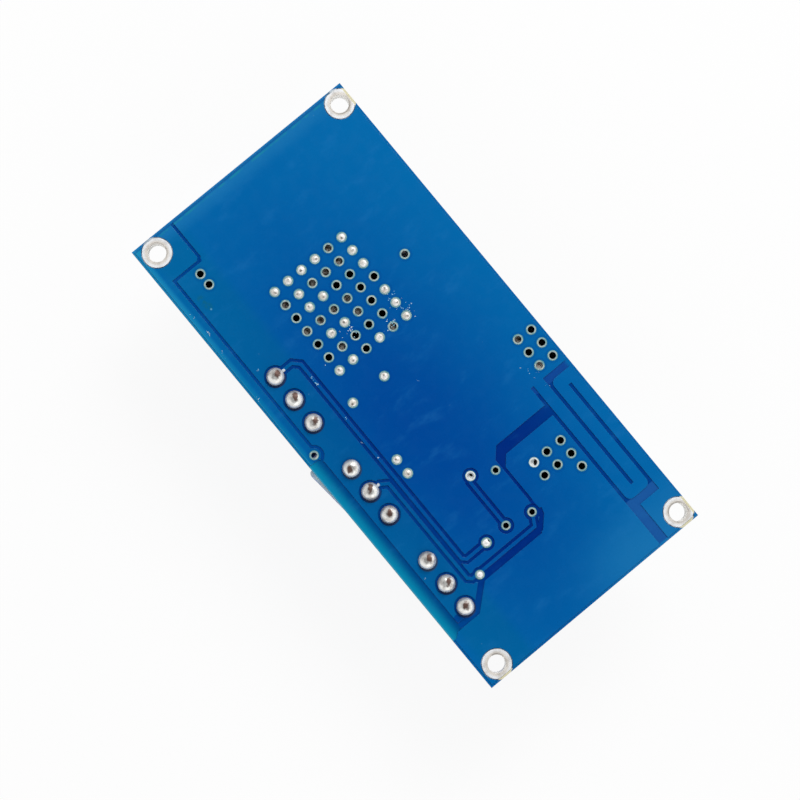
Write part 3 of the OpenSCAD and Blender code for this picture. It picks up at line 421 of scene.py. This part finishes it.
    def bump(self, height, depth, normal=None):
        """Sets the shader's normal from a height that spans depth millimetres."""
        node = self.node("Bump")
        self.put(node.inputs["Distance"], depth * MM)
        self.put(node.inputs["Height"], height)
        if normal is not None:
            self.put(node.inputs["Normal"], normal)
        self.put(self.shader.inputs["Normal"], node.outputs["Normal"])

    def paint(self, base, roughness):
        """Sets the shader's colour and roughness, and gives the finished material."""
        self.put(self.shader.inputs["Base Color"], base)
        self.put(self.shader.inputs["Roughness"], roughness)
        return self.material


def islands(node):
    """The separate solids of a CAD node in millimetres, in the order of their places along X."""
    mesh = bmesh.new()
    mesh.from_mesh(frame["nodes"][node].data)
    bmesh.ops.remove_doubles(mesh, verts=mesh.verts, dist=SAME_POINT)
    left = set(mesh.verts)
    found = []
    while left:
        open_ends = [left.pop()]
        low = open_ends[0].co.copy()
        high = open_ends[0].co.copy()
        while open_ends:
            vert = open_ends.pop()
            low = Vector(map(min, low, vert.co))
            high = Vector(map(max, high, vert.co))
            for edge in vert.link_edges:
                other = edge.other_vert(vert)
                if other in left:
                    left.discard(other)
                    open_ends.append(other)
        found.append(Island((low + high) / 2 / MM, low / MM, high / MM))
    mesh.free()
    return sorted(found, key=lambda island: tuple(island.centre))


def mask_paleness(skin):
    """0 at the mask's deepest place, rising to 1 far from it, and a little mottled."""
    offset = skin.vector("SUBTRACT", skin.place, DEEPEST)
    along = skin.vector("DOT_PRODUCT", offset, PALER_ALONG)
    across = skin.vector("DOT_PRODUCT", offset, PALER_ACROSS)
    spread = skin.math("ADD", skin.times(along, along), skin.times(across, across))
    pale = skin.math("SUBTRACT", 1.0, skin.math("EXPONENT", skin.times(spread, -1.0)))
    return skin.math("ADD", pale, skin.swing(skin.noise(0.3, 3), 0.16), clamp=True)


def mask_on_copper(skin, pale, from_input, from_near):
    """The mask over copper: tinted round the pins, at both ends and along the trimmer edge."""
    tone = skin.mix(pale, "#004899", "#046cae")
    tone = skin.over(tone, skin.band(skin.y, *PIN_ROW, 1.2), "#00678a", 0.25)
    input_end = skin.ramp(from_input, 1.9, 0.4)
    to_output = skin.ramp(skin.x, board_high.x - 6, board_high.x - 0.5)
    output_end = skin.times(to_output, skin.ramp(skin.y, -3, 6))
    tone = skin.over(tone, skin.math("MAXIMUM", input_end, output_end), "#1772b1")
    near_side = skin.times(skin.ramp(from_near, 0.75, 0.35), skin.below(skin.x, NEAR_STRIP[0]))
    tone = skin.over(tone, near_side, skin.mix(skin.ramp(skin.x, -6, -18), "#0673aa", "#1783b6"))
    corner = skin.times(skin.ramp(from_input, 1.1, 0.3), skin.ramp(from_near, 1.1, 0.3))
    return skin.over(tone, corner, "#1f93c4")


def mask_on_laminate(skin, pale, copper, from_input, from_near):
    """The mask over bare laminate: darker, paler in the wide gaps, as over copper by the edges."""
    tone = skin.mix(skin.ramp(pale, 0.2, 0.9), "#002c80", "#003f8c")
    tone = skin.over(tone, skin.ramp(skin.y, -5, -10), "#004793")
    input_side = skin.ramp(skin.x, SHUNT_GAPS[0] + SHARP, SHUNT_GAPS[0])
    output_side = skin.ramp(skin.x, SHUNT_GAPS[1] - SHARP, SHUNT_GAPS[1])
    by_shunt = skin.ramp(skin.y, SHUNT_LOW - SHARP, SHUNT_LOW)
    wide = skin.times(skin.math("MAXIMUM", input_side, output_side), by_shunt)
    tone = skin.over(tone, wide, skin.mix(skin.ramp(skin.x, 8, 18), "#114897", "#1b58a0"))
    tone = skin.over(tone, skin.ramp(skin.y, board_high.y - 0.65, board_high.y - 0.15), copper)
    from_output = skin.math("SUBTRACT", board_high.x, skin.x)
    from_far = skin.math("SUBTRACT", board_high.y, skin.y)
    from_edge = skin.fold("MINIMUM", (from_input, from_output, from_near, from_far))
    return skin.over(tone, skin.below(from_edge, EDGE_STRIP + STRIP_SLACK), copper)


def wider_gaps(skin):
    """1 on the copper's face where the photograph shows bare ground."""
    outside = []
    for start, end, half in WIDER_GAPS:
        outside.append(skin.math("SUBTRACT", skin.away_from_line(start, end), half))
    near = skin.fold("MINIMUM", outside)
    return skin.times(skin.ramp(near, 0.03, -0.02), skin.above(skin.z, FACE_PLANE))


def teal_strip(skin, bare, from_near):
    """The bare ground, with teal light coming through its strip along the trimmer edge."""
    glow = skin.mix(skin.ramp(from_near, 1.2, 0.1), "#004a89", "#0888b0")
    glow = skin.over(glow, skin.ramp(from_near, 0.16, 0.03), "#409ab9")
    along = skin.times(skin.above(skin.x, NEAR_STRIP[0]), skin.below(skin.x, NEAR_STRIP[1]))
    return skin.over(bare, skin.times(along, skin.ramp(from_near, 1.3, 1.2)), glow)


def edge_lines(skin, masked, from_input, from_near):
    """A dark line of painted shade, broken teal and pale lines along the input end, and a pale one
    by the trimmer edge.
    """
    # Painted shade: a dark line just inside the copper's edge along the input end
    masked = skin.over(masked, skin.band(from_input, 0.2, 0.3, 0.06), "#0a4f96", 0.5)
    broken = skin.times(skin.band(from_input, 0.36, 0.48, 0.06), skin.patches(0.8, 3, 0.4, 0.6))
    masked = skin.over(masked, broken, "#1e8ca0", 0.6)
    masked = skin.over(masked, skin.ramp(from_input, 0.2, 0.1), "#1e78b9", 0.6)
    step = skin.times(skin.band(from_near, 0.17, 0.24, 0.05), skin.below(skin.x, NEAR_STRIP[0]))
    return skin.over(masked, step, "#2a95c8", 0.6)


def ring_openings(skin, masked, gap):
    """Dull tin in the openings round the corner rings, and bare laminate past the rings' flats."""
    opening = skin.times(skin.below(skin.away_from_hole(), RING_D / 2 + OPENING_W), gap)
    past_far = skin.above(skin.y, board_high.y - EDGE_STRIP)
    past_output = skin.above(skin.x, board_high.x - EDGE_STRIP)
    tin = skin.mix(skin.patches(0.9, 4, 0.42, 0.58), "#c3cdd3", "#4f6f86")
    ground = skin.mix(skin.math("MAXIMUM", past_far, past_output), tin, "#dfd9b8")
    return skin.over(masked, opening, ground)


def via_rims(skin, masked):
    """Round each via painted shade where the mask sinks, and a thin teal rim."""
    outside = []
    for via in islands("signal_vias") + islands("thermal_vias"):
        from_axis = skin.away(via.centre.x, via.centre.y)
        outside.append(skin.math("SUBTRACT", from_axis, (via.high.x - via.low.x) / 2))
    near = skin.fold("MINIMUM", outside)
    # Painted shade: the ground darker close round each via
    masked = skin.over(masked, skin.ramp(near, 0.34, 0.08), "#013a8c", 0.32)
    return skin.over(masked, skin.ramp(near, 0.07, 0.03), "#3c8f9c")


def pin_halos(skin, masked):
    """Round each pin a dark halo, and a painted shadow, dark olive, on its +X side."""
    pins = [pin.centre for pin in islands("pin_pads")]
    halo = skin.fold("MINIMUM", [skin.away(pin.x, pin.y) for pin in pins])
    # Painted shadow: a dark olive crescent on each pin's +X side, beside its dome
    shadow_side = skin.fold("MINIMUM", [skin.away(pin.x + 0.15, pin.y - 0.03) for pin in pins])
    masked = skin.over(masked, skin.ramp(halo, 1.02, 0.85), "#01307c", 0.35)
    return skin.over(masked, skin.ramp(shadow_side, 0.88, 0.76), "#3a3a30", 0.6)


def spills_and_stains(skin, masked):
    """Solder spilt onto two traces, specks of dust, a faint greenish stain and hazy scuffs."""
    uneven = skin.swing(skin.noise(4, 3), 0.3)
    for spill in SPILLS:
        edge = skin.math("ADD", skin.away(*spill), uneven)
        masked = skin.over(masked, skin.ramp(edge, 0.16, 0.1), "#e3e9ee", 0.85)
    masked = skin.over(masked, skin.specks(0.9, 0.05, 0.02, 0.75), "#7fb4d8", 0.3)
    stain = skin.ramp(skin.away_from_line(*STAIN), 0.45, 0.1)
    stain = skin.times(stain, skin.patches(2.2, 3, 0.4, 0.55))
    masked = skin.over(masked, stain, "#13647a", 0.5)
    masked = skin.over(masked, skin.ramp(skin.away(*STAIN_SPOT), 0.12, 0.04), "#6fb8d8", 0.6)
    haze = skin.noise(0.5, 4, 0.65, at=skin.stretched(1, 0.45, 0))
    return skin.over(masked, skin.ramp(haze, 0.52, 0.75), "#2379bd", 0.22)


def board_finish():
    """Blue solder mask over copper and over bare laminate, with the laminate's own cut edge."""
    skin = Finish("solder_mask", IOR=1.5, Specular_IOR_Level=0.18, Specular_Tint=(0.6, 0.85, 1, 1))
    from_input = skin.math("SUBTRACT", skin.x, board_low.x)
    from_near = skin.math("SUBTRACT", skin.y, board_low.y)
    gap = skin.times(skin.below(skin.z, GAP_PLANE), skin.above(skin.z, FACE_PLANE))
    pale = mask_paleness(skin)
    copper = mask_on_copper(skin, pale, from_input, from_near)
    bare = mask_on_laminate(skin, pale, copper, from_input, from_near)
    copper = skin.over(copper, wider_gaps(skin), bare)
    bare = teal_strip(skin, bare, from_near)
    masked = skin.mix(gap, copper, bare)
    masked = edge_lines(skin, masked, from_input, from_near)
    masked = ring_openings(skin, masked, gap)
    masked = via_rims(skin, masked)
    masked = pin_halos(skin, masked)
    masked = spills_and_stains(skin, masked)

    layers = skin.noise(1.0, 3, at=skin.stretched(0.6, 0.6, 9))
    laminate = skin.mix(layers, "#b9b489", "#8d9a72")
    side = skin.times(skin.below(skin.z, FACE_PLANE), skin.above(skin.z, BACK_PLANE))
    base = skin.over(masked, side, laminate)
    ripple = skin.math("ADD", skin.noise(1.4, 3), skin.times(skin.noise(9), 0.25))
    skin.bump(ripple, 0.003, skin.round_edges(0.07))
    return skin.paint(base, skin.wander(skin.noise(0.9, 4), 0.22, 0.32))


def ring_finish():
    """Tinned rings of the corner holes: white outside, warm grey inside, painted shade round the
    hole.
    """
    skin = Finish("corner_ring", Metallic=0.3)
    out = skin.away_from_hole()
    base = skin.mix(skin.ramp(out, 0.95, 1.15), "#e6e1da", "#f3f5f8")
    base = skin.over(base, skin.patches(1.1, 4, 0.46, 0.66, 0.6), "#a7a19a", 0.4)
    # Painted shade: broken dark arcs on the lip round the hole
    mark = skin.times(skin.band(out, 0.83, 0.9, 0.05), skin.patches(0.8, 3, 0.4, 0.6))
    base = skin.over(base, mark, "#7b756e", 0.6)
    # Painted light: the barrel near white, as if lit from below through the hole
    base = skin.over(base, skin.below(skin.z, FACE_PLANE), "#f4f3f0")
    dents = skin.noise(2.5, 3)
    skin.bump(dents, 0.015, skin.round_edges(0.05))
    return skin.paint(base, skin.wander(dents, 0.48, 0.65))


def via_finish():
    """Plated vias: a dull cream to teal rim, and a barrel that light hardly reaches."""
    skin = Finish("via_plating", Metallic=0.3)
    rim = skin.mix(skin.patches(2.5, 3, 0.35, 0.65), "#7da6ac", "#bac5c2")
    base = skin.over(rim, skin.below(skin.z, GAP_PLANE), "#14100d")
    for via in HALF_VIAS:
        base = skin.over(base, skin.below(skin.away(*via), HALF_VIA_R), "#e4eaec")
    skin.bump(skin.noise(8), 0.008)
    return skin.paint(base, skin.wander(skin.noise(4), 0.45, 0.6))


def back_pad_finish():
    """Tinned pads of the component side. What shows of them through an open via is in the dark."""
    skin = Finish("back_pad", Metallic=0.8)
    base = skin.mix(skin.patches(2.4, 4, 0.35, 0.7, 0.6), "#e6e7e5", "#a9aba8")
    base = skin.over(base, skin.above(skin.z, board_low.z - 0.01), "#0c0908")
    skin.bump(skin.noise(3.8, 4, 0.6), 0.02)
    return skin.paint(base, skin.wander(skin.noise(4.8, 3), 0.32, 0.5))


def pin_pad_finish():
    """The thin rim of a pin's ring past its solder, dark grey to olive grey."""
    skin = Finish("pin_pad", Metallic=0.3)
    base = skin.mix(skin.noise(2.5, 3), "#3a444b", "#5a5a51")
    skin.bump(skin.noise(8), 0.008)
    return skin.paint(base, skin.wander(skin.noise(4), 0.4, 0.55))


def via_solder_finish():
    """Solder in the vias: white where it fills them, grey-brown in those that drained."""
    skin = Finish("via_solder_skin", Metallic=0.35)
    full = skin.mix(skin.patches(1.6, 3, 0.35, 0.65), "#f7f5f2", "#d6d1c8")
    full = skin.over(full, skin.above(skin.x, WHITE_SOLDER_X), "#fbfbfa")
    spots = []
    for number, via in enumerate(islands("via_solder")):
        if via.centre.x < WHITE_SOLDER_X:
            along = SPOT_OUT * math.cos(SPOT_TURN * number)
            across = SPOT_OUT * math.sin(SPOT_TURN * number)
            spots.append(skin.away(via.centre.x + along, via.centre.y + across))
    ragged = skin.math("ADD", skin.fold("MINIMUM", spots), skin.times(skin.noise(4, 3), 0.24))
    full = skin.over(full, skin.ramp(ragged, 0.26, 0.16), "#5b5048", 0.75)
    for place, (along_x, along_y), half_length, half_width in HOLLOWS:
        length = Vector((along_x, along_y, 0)) / half_length
        width = Vector((-along_y, along_x, 0)) / half_width
        # Painted shade: each hollow near black
        hollow = skin.ramp(skin.away_from_ellipse(place, length, width), 1.15, 0.8)
        full = skin.over(full, hollow, "#100b09")
    drained = skin.mix(skin.patches(3.2, 4, 0.4, 0.62, 0.6), "#b9b2aa", "#3a322d")
    low_in_hole = skin.times(skin.below(skin.z, FACE_PLANE), skin.below(skin.x, DRAINED_X))
    base = skin.over(full, low_in_hole, drained)
    skin.bump(skin.noise(3, 3, 0.6), 0.012)
    return skin.paint(base, skin.wander(skin.noise(5, 3), 0.35, 0.5))


def dome_finish():
    """Smooth solder on the pins, painted shade on one side, with a brown mark over each pin's tip.
    """
    skin = Finish("pin_solder_skin", Metallic=0.55)
    shaded_sides = []
    marks = []
    for pin, (mark_x, mark_y) in zip(islands("pin_solder"), TIP_MARKS):
        shaded_sides.append(skin.away(pin.centre.x + SHADED_SIDE[0], pin.centre.y + SHADED_SIDE[1]))
        at = (pin.centre.x + mark_x, pin.centre.y + mark_y)
        marks.append(skin.away_from_ellipse(at, MARK_LENGTH, MARK_WIDTH))
    ragged = skin.math("ADD", skin.fold("MINIMUM", marks), skin.swing(skin.noise(3.2, 3), 2.2))
    mark = skin.ramp(ragged, 1.6, 0.85)
    base = skin.over("#f6f6f2", skin.patches(1.3, 4, 0.45, 0.7, 0.6), "#98908a", 0.7)
    # Painted shade: grey over one side of each dome
    base = skin.over(base, skin.ramp(skin.fold("MINIMUM", shaded_sides), 0.85, 0.2), "#8b8988", 0.5)
    base = skin.over(base, mark, "#54352a", 0.94)
    skin.bump(skin.noise(1.5, 3, 0.55), 0.04)
    rough = skin.wander(skin.noise(2), 0.24, 0.36)
    return skin.paint(base, skin.math("ADD", rough, skin.times(mark, 0.2)))


def flux_finish():
    """Flakes of dried flux, white to pale blue."""
    skin = Finish("dried_flux", IOR=1.5)
    base = skin.mix(skin.patches(1.3, 2, 0.4, 0.6), "#7dbfe2", "#d3eaf2")
    skin.bump(skin.noise(12), 0.004)
    return skin.paint(base, skin.wander(skin.noise(4), 0.45, 0.65))


def tin_finish(name, pale, dull, lumps):
    """Tinned copper from a hot bath: bright, a little uneven, duller in patches."""
    skin = Finish(name, Metallic=0.85)
    base = skin.mix(skin.patches(lumps, 4, 0.35, 0.7, 0.6), pale, dull)
    skin.bump(skin.noise(lumps * 1.6, 4, 0.6), 0.03)
    return skin.paint(base, skin.wander(skin.noise(lumps * 2, 3), 0.28, 0.5))


def pin_finish():
    """The trimmers' pins: tinned wire, browned by the heat of soldering."""
    skin = Finish("pin_wire", Metallic=0.7)
    base = skin.mix(skin.noise(6, 3), "#a58a74", "#6a5448")
    skin.bump(skin.noise(9), 0.01)
    return skin.paint(base, skin.wander(skin.noise(4), 0.3, 0.5))


def brass_finish():
    """Turned brass: fine rings round the screw's axis, with darker tarnish in patches."""
    skin = Finish("turned_brass", Metallic=1.0)
    base = skin.mix(skin.patches(1.2, 4, 0.35, 0.75), "#d9ae5a", "#a87b34")
    rings = skin.noise(1.0, at=skin.stretched(0.4, 0.4, 22))
    skin.bump(rings, 0.012, skin.round_edges(0.06))
    return skin.paint(base, skin.wander(rings, 0.22, 0.38))


def plastic_finish(name, base, worn, rough, painted_light=None):
    """Moulded plastic or epoxy with a fine grain, faint flow marks, pale flecks and soft edges.

    Upward faces past the board's trimmer edge can take a pale colour of painted light."""
    skin = Finish(name, IOR=1.5)
    grain = 7.0
    flow = skin.noise(0.5, 3, at=skin.stretched(1, 1, 0.4))
    tone = skin.over(base, skin.ramp(flow, 0.35, 0.8), worn, 0.5)
    tone = skin.over(tone, skin.specks(2.2, 0.09, 0.03, 0.8), "#b9b9b4", 0.3)
    if painted_light:
        # Painted light: upward faces past the board's trimmer edge made pale, as if lit
        upward = skin.above(skin.axes(skin.facing)[2], 0.5)
        past_edge = skin.below(skin.y, board_low.y)
        tone = skin.over(tone, skin.times(upward, past_edge), painted_light)
    skin.bump(skin.noise(grain, 3, 0.6), 0.012, skin.round_edges(0.1))
    return skin.paint(tone, skin.wander(skin.noise(grain / 3, 3), rough, rough + 0.15))


def resin_finish():
    """The resin that seals a trimmer's pins in: cream, cloudy, gently waved."""
    skin = Finish("potting_resin", IOR=1.5)
    base = skin.mix(skin.noise(0.8, 3), "#d9d2ba", "#b8ab8b")
    skin.bump(skin.noise(1.5, 3), 0.05)
    return skin.paint(base, skin.wander(skin.noise(2), 0.3, 0.5))


def ferrite_finish():
    """Sintered ferrite: dark grey, grainy, with a few paler chips."""
    skin = Finish("ferrite", IOR=1.8)
    grain = skin.noise(14, 3, 0.7)
    chips = skin.specks(1.6, 0.16, 0.08, 0.8)
    tone = skin.over(skin.mix(grain, "#3a3b3d", "#55575a"), chips, "#8a8b8d", 0.4)
    skin.bump(skin.math("SUBTRACT", grain, chips), 0.02, skin.round_edges(0.12))
    return skin.paint(tone, skin.wander(grain, 0.4, 0.6))


def wire_finish():
    """Enamelled copper wire, with the turns of the winding as ridges."""
    skin = Finish("enamelled_wire", Metallic=0.8, Coat_Weight=0.6, Coat_Roughness=0.1)
    base = skin.mix(skin.noise(2, 3), "#b8602c", "#8c3f1c")
    skin.bump(skin.noise(1.0, 1, at=skin.stretched(0.5, 0.5, 5)), 0.03)
    return skin.paint(base, skin.wander(skin.noise(3), 0.25, 0.4))


def can_finish():
    """Drawn aluminium can: fine lines along its height, soft sheen, a few rubs."""
    skin = Finish("drawn_can", Metallic=0.95)
    lines = skin.noise(1.0, 3, 0.6, at=skin.stretched(12, 12, 0.5))
    base = skin.over("#d4d6d8", lines, "#b3b6ba", 0.5)
    base = skin.over(base, skin.patches(0.6, 4, 0.55, 0.8, 0.7), "#8f9296", 0.4)
    skin.bump(lines, 0.006, skin.round_edges(0.08))
    return skin.paint(base, skin.wander(lines, 0.26, 0.4))


def glass_diode_finish():
    """Orange glass with a clear shine."""
    skin = Finish("diode_glass", IOR=1.5, Coat_Weight=1.0, Coat_Roughness=0.05)
    base = skin.mix(skin.patches(1.4, 2, 0.35, 0.65), "#b4622f", "#70331c")
    skin.bump(skin.noise(1.5), 0.01)
    return skin.paint(base, skin.wander(skin.noise(2), 0.08, 0.18))


def ceramic_finish(name, base, dark):
    """Fired chip ceramic: matt, finely speckled."""
    skin = Finish(name, IOR=1.6)
    tone = skin.mix(skin.patches(10, 3, 0.35, 0.7, 0.7), base, dark)
    skin.bump(skin.noise(12), 0.008, skin.round_edges(0.05))
    return skin.paint(tone, skin.wander(skin.noise(5), 0.35, 0.55))


def lens_finish():
    """The clear lens of an indicator, slightly clouded."""
    skin = Finish("indicator_lens", IOR=1.5, Transmission_Weight=0.6)
    base = skin.mix(skin.noise(1.5, 3), "#f2f4ea", "#dfe6c8")
    skin.bump(skin.noise(3), 0.01, skin.round_edges(0.06))
    return skin.paint(base, skin.wander(skin.noise(4), 0.12, 0.25))


def finish_nodes(material, *endings):
    """Gives a finish to every CAD node whose name has one of the endings."""
    for name, node in frame["nodes"].items():
        if name.endswith(endings):
            node.data.materials.clear()
            node.data.materials.append(material)


def apply_finishes():
    """Gives every CAD node its finish."""
    tinned = tin_finish("tinned_copper", "#e6e7e5", "#a9aba8", 2.4)
    leads = tin_finish("tinned_leads", "#d9dbdb", "#b3b6b7", 1.2)
    epoxy = plastic_finish("moulded_epoxy", "#1d1e20", "#313234", 0.38)
    # The trimmers' tops past the board's edge are pale with painted light
    trimmer = plastic_finish("trimmer_blue", "#1d57a8", "#2f6bb8", 0.3, painted_light="#dcf4ff")
    finish_nodes(board_finish(), "board")
    finish_nodes(ring_finish(), "corner_pads")
    finish_nodes(via_finish(), "thermal_vias", "signal_vias")
    finish_nodes(pin_pad_finish(), "pin_pads")
    finish_nodes(back_pad_finish(), "component_pads")
    finish_nodes(via_solder_finish(), "via_solder")
    finish_nodes(trimmer, "_housing")
    finish_nodes(resin_finish(), "_resin")
    finish_nodes(pin_finish(), "_pins")
    finish_nodes(brass_finish(), "_screw")
    finish_nodes(leads, "regulator_tab", "_leads", "_terminals", "_caps")
    finish_nodes(epoxy, "regulator_body", "diode_body", "amplifier_body")
    finish_nodes(plastic_finish("base_plastic", "#161719", "#2a2b2d", 0.45), "_base")
    finish_nodes(ferrite_finish(), "_drum", "_shield")
    finish_nodes(wire_finish(), "_winding")
    finish_nodes(can_finish(), "_can")
    finish_nodes(glass_diode_finish(), "glass_diode_body")
    finish_nodes(ceramic_finish("resistor_glaze", "#222225", "#3a3a3e"), "resistor_bodies")
    finish_nodes(ceramic_finish("capacitor_ceramic", "#a98960", "#8b6b47"), "capacitor_bodies")
    finish_nodes(tinned, "resistor_ends", "capacitor_ends")
    finish_nodes(ceramic_finish("indicator_base", "#ecece4", "#d2d1c4"), "indicator_bases")
    finish_nodes(tin_finish("gilt_contact", "#e2c078", "#b9923f", 3), "indicator_ends")
    finish_nodes(lens_finish(), "indicator_lenses")


def new_piece(name, mesh, material, smooth):
    """A piece of the module made from a bmesh in millimetres. It rides on the board's body."""
    data = bpy.data.meshes.new(name)
    bmesh.ops.recalc_face_normals(mesh, faces=mesh.faces)
    bmesh.ops.scale(mesh, vec=(MM, MM, MM), verts=mesh.verts)
    mesh.to_mesh(data)
    mesh.free()
    data.polygons.foreach_set("use_smooth", [smooth] * len(data.polygons))
    data.materials.append(material)
    piece = bpy.data.objects.new(name, data)
    bpy.context.scene.collection.objects.link(piece)
    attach(piece, "module")
    return piece


def dome_profile(plug_low):
    """Radius and height up one pin's solder: the plug in the hole, the foot, then the dome."""
    profile = [(PLUG_R, plug_low), (PLUG_R, 0.0), (DOME_R, 0.0)]
    for step in range(1, DOME_STEPS):
        angle = math.pi / 2 * step / DOME_STEPS
        radius = DOME_R * math.cos(angle) ** DOME_SIDES
        profile.append((radius, DOME_H * math.sin(angle) ** DOME_CROWN))
    return profile


def add_pin_solder():
    """The nine pins' solder: a plug in each hole and a slightly uneven dome over the pin's tip."""
    draw = random.Random(DOME_SEED)
    mesh = bmesh.new()
    angles = [2 * math.pi * turn / DOME_TURNS for turn in range(DOME_TURNS)]
    for pin in islands("pin_solder"):
        phases = [draw.uniform(0, 2 * math.pi) for _ in range(WAVES)]
        swells = [draw.uniform(*SWELL) for _ in range(WAVES)]
        rings = []
        for radius, height in dome_profile(pin.low.z):
            ring = []
            for angle in angles:
                uneven = 0.0
                for wave in range(WAVES):
                    uneven += swells[wave] * math.sin((wave + 2) * angle + phases[wave])
                out = radius * (1 + uneven * min(1, max(0, height) / SWELL_FULL))
                x = pin.centre.x + out * math.cos(angle)
                y = pin.centre.y + out * math.sin(angle)
                ring.append(mesh.verts.new((x, y, height)))
            rings.append(ring)
        for below, above in zip(rings, rings[1:]):
            for turn in range(DOME_TURNS):
                after = (turn + 1) % DOME_TURNS
                mesh.faces.new((below[turn], below[after], above[after], above[turn]))
        mesh.faces.new(rings[0])
        top = mesh.verts.new((pin.centre.x, pin.centre.y, DOME_H))
        for turn in range(DOME_TURNS):
            mesh.faces.new((rings[-1][turn], rings[-1][(turn + 1) % DOME_TURNS], top))
    piece = new_piece("pin_solder_domes", mesh, dome_finish(), True)
    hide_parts("pin_solder")


def add_flux():
    """Thin uneven flakes of dried flux where the photograph shows them."""
    draw = random.Random(FLAKE_SEED)
    mesh = bmesh.new()
    for (x, y), (spread_x, spread_y), count, largest in FLUX:
        for _ in range(count):
            centre = Vector((draw.gauss(x, spread_x / 2), draw.gauss(y, spread_y / 2), 0))
            size = draw.uniform(FLAKE_LEAST, 1) * largest
            corners = draw.randint(*FLAKE_CORNERS)
            lower = []
            upper = []
            for corner in range(corners):
                angle = 2 * math.pi * corner / corners
                out = size * draw.uniform(*FLAKE_RAGGED)
                edge = centre + Vector((out * math.cos(angle), out * math.sin(angle), 0))
                lower.append(mesh.verts.new(edge))
                upper.append(mesh.verts.new(edge + Vector((0, 0, FLAKE_T))))
            mesh.faces.new(lower[::-1])
            mesh.faces.new(upper)
            for corner in range(corners):
                after = (corner + 1) % corners
                mesh.faces.new((lower[corner], lower[after], upper[after], upper[corner]))
    new_piece("flux_flakes", mesh, flux_finish(), False)


def seen_rays(nodes):
    """Two values: 1 for a ray from the camera, and 1 for that or one in gloss or through glass."""
    ray = nodes.node("LightPath").outputs
    kinds = (ray["Is Camera Ray"], ray["Is Glossy Ray"], ray["Is Transmission Ray"])
    return ray["Is Camera Ray"], nodes.fold("MAXIMUM", kinds)


def add_floor():
    """A white floor under the module. The camera sees it white, with the module's soft shadow."""
    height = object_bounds()[0].z - FLOOR_GAP
    corners = []
    for side_x, side_y in ((-1, -1), (1, -1), (1, 1), (-1, 1)):
        corners.append((side_x * FLOOR_HALF, side_y * FLOOR_HALF, height))
    mesh = bpy.data.meshes.new("floor")
    mesh.from_pydata(corners, [], [(0, 1, 2, 3)])
    material = bpy.data.materials.new("white_floor")
    material.use_nodes = True
    nodes = Nodes(material.node_tree)
    nodes.tree.nodes.clear()
    shaded = nodes.node("BsdfDiffuse")
    nodes.put(shaded.inputs["Color"], (FLOOR_WHITE, FLOOR_WHITE, FLOOR_WHITE, 1))
    seen = seen_rays(nodes)[1]
    mix = nodes.node("MixShader")
    nodes.put(mix.inputs[0], nodes.times(seen, FLOOR_GLOW))
    nodes.put(mix.inputs[1], shaded.outputs[0])
    nodes.put(mix.inputs[2], nodes.node("Emission").outputs[0])
    nodes.put(nodes.node("OutputMaterial").inputs["Surface"], mix.outputs[0])
    mesh.materials.append(material)
    floor = bpy.data.objects.new("floor", mesh)
    bpy.context.scene.collection.objects.link(floor)


def add_world():
    """White all round, fading to black overhead, where the camera and its stand are."""
    world = bpy.data.worlds.new("studio")
    world.use_nodes = True
    nodes = Nodes(world.node_tree)
    upward = nodes.axes(nodes.node("TexCoord").outputs["Generated"])[2]
    open_sky = nodes.ramp(upward, math.cos(WHITE_FROM), math.cos(BLACK_TO), 1, 0)
    from_camera, seen = seen_rays(nodes)
    light = nodes.times(open_sky, nodes.ramp(seen, 0, 1, WORLD_LEVEL, 1))
    background = nodes.tree.nodes["Background"]
    nodes.put(background.inputs["Color"], (1, 1, 1, 1))
    nodes.put(background.inputs["Strength"], nodes.math("MAXIMUM", light, from_camera))
    bpy.context.scene.world = world


def add_lamp(name, at, size, power):
    """A square soft lamp, turned to the middle of the module."""
    light = bpy.data.lights.new(name, "AREA")
    light.size = size
    light.energy = power
    lamp = bpy.data.objects.new(name, light)
    lamp.location = at
    lamp.rotation_euler = Vector(at).to_track_quat("Z", "Y").to_euler()
    bpy.context.scene.collection.objects.link(lamp)


def add_camera():
    """The camera, at the photograph's place and angle."""
    data = bpy.data.cameras.new("camera")
    data.sensor_width = SENSOR_MM
    data.lens = LENS_MM
    data.clip_start = NEAREST_SEEN
    camera = bpy.data.objects.new("camera", data)
    back = (CAMERA_AT - CAMERA_AIM).normalized()
    right = CAMERA_UP.cross(back).normalized()
    turn = Matrix((right, back.cross(right), back)).transposed()
    camera.matrix_world = Matrix.Translation(CAMERA_AT) @ turn.to_4x4()
    bpy.context.scene.collection.objects.link(camera)
    bpy.context.scene.camera = camera


apply_finishes()
add_pin_solder()
add_flux()
add_floor()
add_world()
add_lamp("key", *KEY_LAMP)
add_lamp("fill", *FILL_LAMP)
add_camera()
bpy.context.scene.view_settings.view_transform = "Standard"
